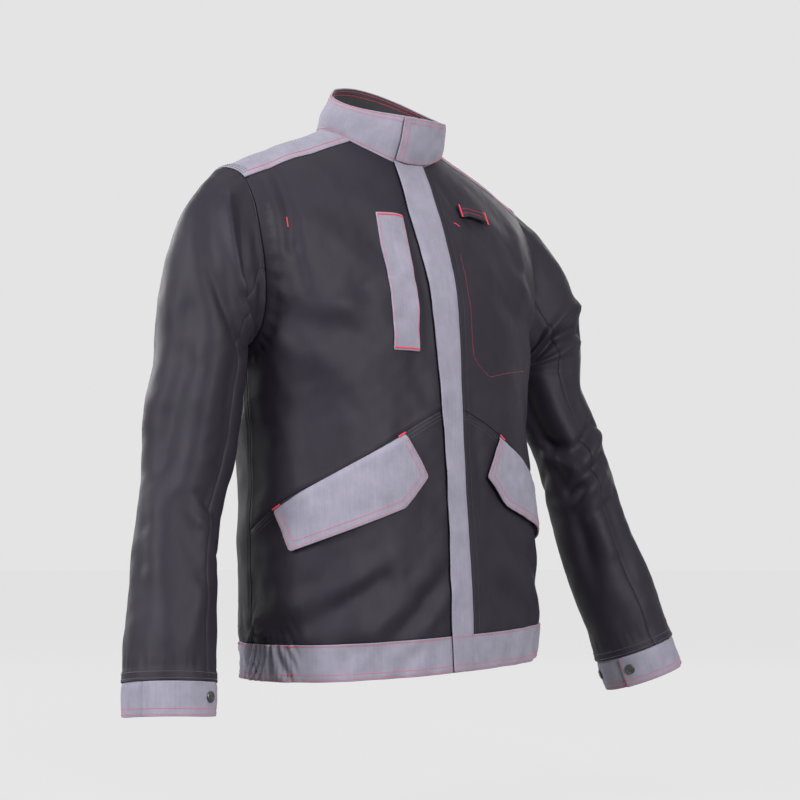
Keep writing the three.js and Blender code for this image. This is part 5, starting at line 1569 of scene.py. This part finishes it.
# ------------------------------------------------------------------ sleeves and cuffs
for side, s in SIDES:
    sl = Sleeve(side, s)
    cen = sl.G.mean(1)

    def outw(P, sl=sl, cen=cen):
        k = np.clip(np.interp(-P[:, 2], -cen[:, 2], np.arange(len(cen))).astype(int), 0, len(cen) - 1)
        return P - cen[k]

    S = SleeveSurf(sl.f, outw, None, lambda q: q)
    q = 108 * 0.96
    L0, L1 = float(sl.rows[0]), float(sl.rows[-1])
    top_o = rect(-q, q, L0, L1, 3.2)
    und_o = rect(q - 4.4, 360 * 0.96 - q + 4.4, L0, L1, 3.2)
    dip = lambda V2, d, q=q: -1.7 * smooth(np.maximum(q - V2[:, 0], V2[:, 0] - (360 * 0.96 - q)) / 1.4)
    a = cloth_piece(side + "_top_sleeve_cloth", S, top_o, 0.0, -1.4, M_CHAR, "charcoal_satin", cell=3.6, rim=0.9, rows=(2.2, 3.6), replaces=[side + "_top_sleeve"])
    b = cloth_piece(side + "_under_sleeve_cloth", S, und_o, 0.0, -1.4, M_CHAR, "charcoal_satin", cell=3.6, rim=0.9, rows=(2.2, 3.6, 5.0), extra=dip, replaces=[side + "_under_sleeve"])
    st = Thread()
    for e in (2.6, 9.6):
        st.run(S, [[-150 * 0.96, L1 - e], [210 * 0.96, L1 - e]], 0.15, pitch=3.0, r=0.4)
    for an in (-108,):
        st.run(S, [[an * 0.96 - np.sign(an) * 2.6, 6], [an * 0.96 - np.sign(an) * 2.6, L1 - 12]], 0.12)
    c = st.make(side + "_sleeve_stitching", M_BLACK)
    for o in (a, b, c):
        set_weights(o, sl.weights(hem_coords(o)))

    # cuff
    path = SLEEVE[side]
    e, d = path[-1], path[-2]
    t = (e - d)[:3]
    t = t / np.linalg.norm(t)
    topc = e[:3] + t * 1.2
    e1 = np.array([-s, 0, 0.0])
    e1 = e1 - t * (e1 @ t)
    e1 /= np.linalg.norm(e1)
    e2 = np.array([0, -1.0, 0])
    e2 = e2 - t * (e2 @ t) - e1 * (e2 @ e1)
    e2 /= np.linalg.norm(e2)
    CK = 0.93  # mm per degree round the cuff

    def cuff_f(uv, topc=topc, e=e, t=t, e1=e1, e2=e2, side=side):
        an = np.radians(uv[:, 0] / CK)
        v = uv[:, 1] / CUFF_LENGTH
        fl = 0.5 * v
        if side == "right":
            v = v * (1 - 0.13 * smooth(0.5 + 0.75 * np.cos(an + math.pi / 4)) * smooth(v))
        return topc + np.outer(v * CUFF_LENGTH, t) + ((e[3] + fl) * np.cos(an))[:, None] * e1 + ((e[4] + fl) * np.sin(an))[:, None] * e2

    def cuff_disp(P):
        return 0.5 * N_MID(P) + 0.25 * N_FINE(P)

    C = Surf(cuff_f, lambda P, topc=topc: P - topc - np.outer((P - topc) @ t, t), cuff_disp, lambda q: q)
    ct = CUFF_TAB[side]
    crel = lambda V2, d: -2.1 * (1 - smooth((V2[:, 1] - 4.2) / 2.6)) - 0.3 * np.exp(-(((V2[:, 1] - (CUFF_LENGTH - 2.4)) / 0.9) ** 2)) - 0.3 * np.exp(-(((V2[:, 1] - (CUFF_LENGTH - 9.0)) / 0.9) ** 2)) + 0.3 * np.exp(-(((V2[:, 1] - (CUFF_LENGTH - 5.6)) / 1.8) ** 2))
    u1 = (ct["root"] - 6) * CK
    cuff = cloth_piece(side + "_cuff_cloth", C, rect(u1 - 357 * CK, u1, -3.0, CUFF_LENGTH, 2.6), 0.4, -1.5, M_GREY, "grey_twill", cell=3.0, rim=1.0, rows=(2.2, 3.4), extra=crel, replaces=[side + "_cuff"])
    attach(cuff, side + "_sleeve")
    cs = Thread()
    for v in (CUFF_LENGTH - 2.4, CUFF_LENGTH - 9.0):
        cs.run(C, [[u1 - 356 * CK, v], [ct["end"] * CK, v]], 0.45, pitch=3.2)
        cs.run(C, [[ct["root"] * CK - 4, v], [u1 - 2, v]], 0.45, pitch=3.2)
    w0, w1 = ct["end"] * CK, ct["root"] * CK
    tabp = rect(w0, w1, 4.6, CUFF_LENGTH + 0.2, 2.6)
    tlift = lambda V2, d=None, w0=w0, w1=w1: -1.7 * smooth((V2[:, 0] - w1 + 12) / 12) + 0.2 * N_MID(np.column_stack([V2, np.full(len(V2), 9.0)]))
    tab_ = cloth_piece(side + "_cuff_tab_cloth", C, tabp, 4.3, 2.5, M_GREY, "grey_twill", cell=3.0, rim=1.0, rows=(2.2, 3.4), extra=tlift, replaces=[side + "_cuff_tab"])
    ts = Thread()
    for v in (CUFF_LENGTH - 2.2, CUFF_LENGTH - 8.8):
        ts.run(C, [[w0 + 2.4, v], [w1 - 1, v]], 4.35, pitch=3.2, extra=tlift)
    ts.run(C, [[w0 + 2.4, 6.6], [w0 + 2.4, CUFF_LENGTH - 2.4]], 4.35, pitch=3.2, extra=tlift)
    for v in (CUFF_LENGTH - 2.2, CUFF_LENGTH - 8.8):
        cs.bar(C, (w0 - 7, v), (w0 - 2, v), 0.55, width=1.5)
    cst = cs.make(side + "_cuff_stitching", M_RED)
    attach(cst, side + "_sleeve")
    tst = ts.make(side + "_cuff_tab_stitching", M_RED)
    for o in (tab_, tst):
        P = hem_coords(o)
        rel_ = P - topc
        an = np.degrees(np.arctan2(rel_ @ e2 / e[4], rel_ @ e1 / e[3]))
        set_weights(o, smooth((ct["root"] - 1 - an) / 16))

    def stud(name, node, deg, prof, body, extra=0.0):
        P, n = C.point(np.array([[deg * CK, CUFF_LENGTH / 2]]), extra)
        return lathe(name, prof, P[0], n[0], 44, M_STUD, body, node)

    CAP = [[0, 4.1], [5.9, 4.1], [6.5, 4.5], [6.6, 5.2], [6.2, 6.0], [5.2, 6.4], [4.3, 6.2], [3.8, 5.75], [3.2, 5.7], [2.4, 5.95], [1.2, 6.15], [0, 6.2]]
    SPARE = [[0, 0.3], [6.0, 0.3], [6.5, 0.6], [6.6, 1.3], [6.1, 2.1], [5.0, 2.5], [4.0, 2.3], [3.5, 1.8], [2.9, 1.75], [2.3, 2.2], [1.8, 2.8], [0, 2.9]]
    POST = [[0, 0.6], [4.2, 0.6], [4.5, 0.8], [4.5, 1.2], [3.4, 1.6], [3.2, 2.2], [0, 2.25]]
    stud(side + "_cuff_stud_cap", side + "_cuff_cap", ct["stud"], CAP, side + "_cuff_tab")
    stud(side + "_cuff_stud_post", side + "_cuff_post", ct["stud"], POST, side + "_sleeve")
    stud(side + "_cuff_spare_cap", side + "_cuff_spare_stud", ct["spare"], SPARE, side + "_sleeve")


# ------------------------------------------------------------------ floor, backdrop and light
def stage_mesh():
    z = -0.86
    n = 96
    V = [(0, 0, z)]
    F = []
    R = [3.5, 9.0, 14.0]
    for r in R:
        for k in range(n):
            w = 2 * math.pi * k / n
            V.append((r * math.cos(w), r * math.sin(w), z))
    for k in range(n):
        F.append((0, 1 + k, 1 + (k + 1) % n))
        for j in range(len(R) - 1):
            a = 1 + j * n
            F.append((a + k, a + n + k, a + n + (k + 1) % n, a + (k + 1) % n))
    me = bpy.data.meshes.new("floor")
    me.from_pydata(V, [], F)
    m, nt, nodes, links, bsdf = new_material("pale_floor")
    nz = nodes.new("ShaderNodeTexNoise")
    nz.inputs["Scale"].default_value = 2.0
    mix = nodes.new("ShaderNodeMix")
    mix.data_type = "RGBA"
    mix.inputs[6].default_value = (0.018, 0.018, 0.018, 1)
    mix.inputs[7].default_value = (0.021, 0.021, 0.021, 1)
    links.new(nz.outputs["Fac"], mix.inputs[0])
    links.new(mix.outputs[2], bsdf.inputs["Base Color"])
    bsdf.inputs["Roughness"].default_value = 0.9
    bsdf.inputs["Specular IOR Level"].default_value = 0.0
    bsdf.inputs["Emission Color"].default_value = (1, 1, 1, 1)
    bsdf.inputs["Emission Strength"].default_value = 0.742
    me.materials.append(m)
    o = bpy.data.objects.new("floor", me)
    bpy.context.scene.collection.objects.link(o)


stage_mesh()


def area_light(name, loc, target, size, power, color=(1, 1, 1), size_y=None):
    l = bpy.data.lights.new(name, "AREA")
    l.shape = "RECTANGLE"
    l.size, l.size_y = size, size_y or size
    l.energy, l.color = power, color
    o = bpy.data.objects.new(name, l)
    bpy.context.scene.collection.objects.link(o)
    o.location = loc
    o.rotation_mode = "QUATERNION"
    o.rotation_quaternion = (Vector(target) - Vector(loc)).to_track_quat("-Z", "Y")


view = bpy.context.scene.view_settings
view.view_transform, view.look, view.exposure, view.gamma = "Standard", "None", 0.0, 1.0
world = bpy.data.worlds.new("studio")
bpy.context.scene.world = world
world.use_nodes = True
bg = world.node_tree.nodes["Background"]
bg.inputs[0].default_value = (0.775, 0.775, 0.775, 1)
bg.inputs[1].default_value = 1.0
# key from the upper left of the view, a soft fill from the right, a low strip for the satin's gloss
area_light("key", (-2.8, 0.0, 0.8), (-0.05, -0.1, -0.35), 1.1, 170, (0.97, 0.97, 1.0), 1.5)
area_light("front", (-0.3, -2.8, 0.6), (0.0, -0.1, -0.4), 1.2, 150, (1.0, 0.985, 1.0), 1.4)
area_light("top", (0.0, -0.3, 2.4), (0, 0, -0.3), 1.4, 22)
area_light("rim", (2.4, 1.3, 0.5), (0.1, 0, -0.3), 1.0, 22, (1, 1, 1), 1.6)
area_light("back", (-0.5, 2.8, 0.8), (0, 0, -0.35), 1.4, 75, (0.985, 0.985, 1.0), 1.6)

bpy.context.view_layer.update()
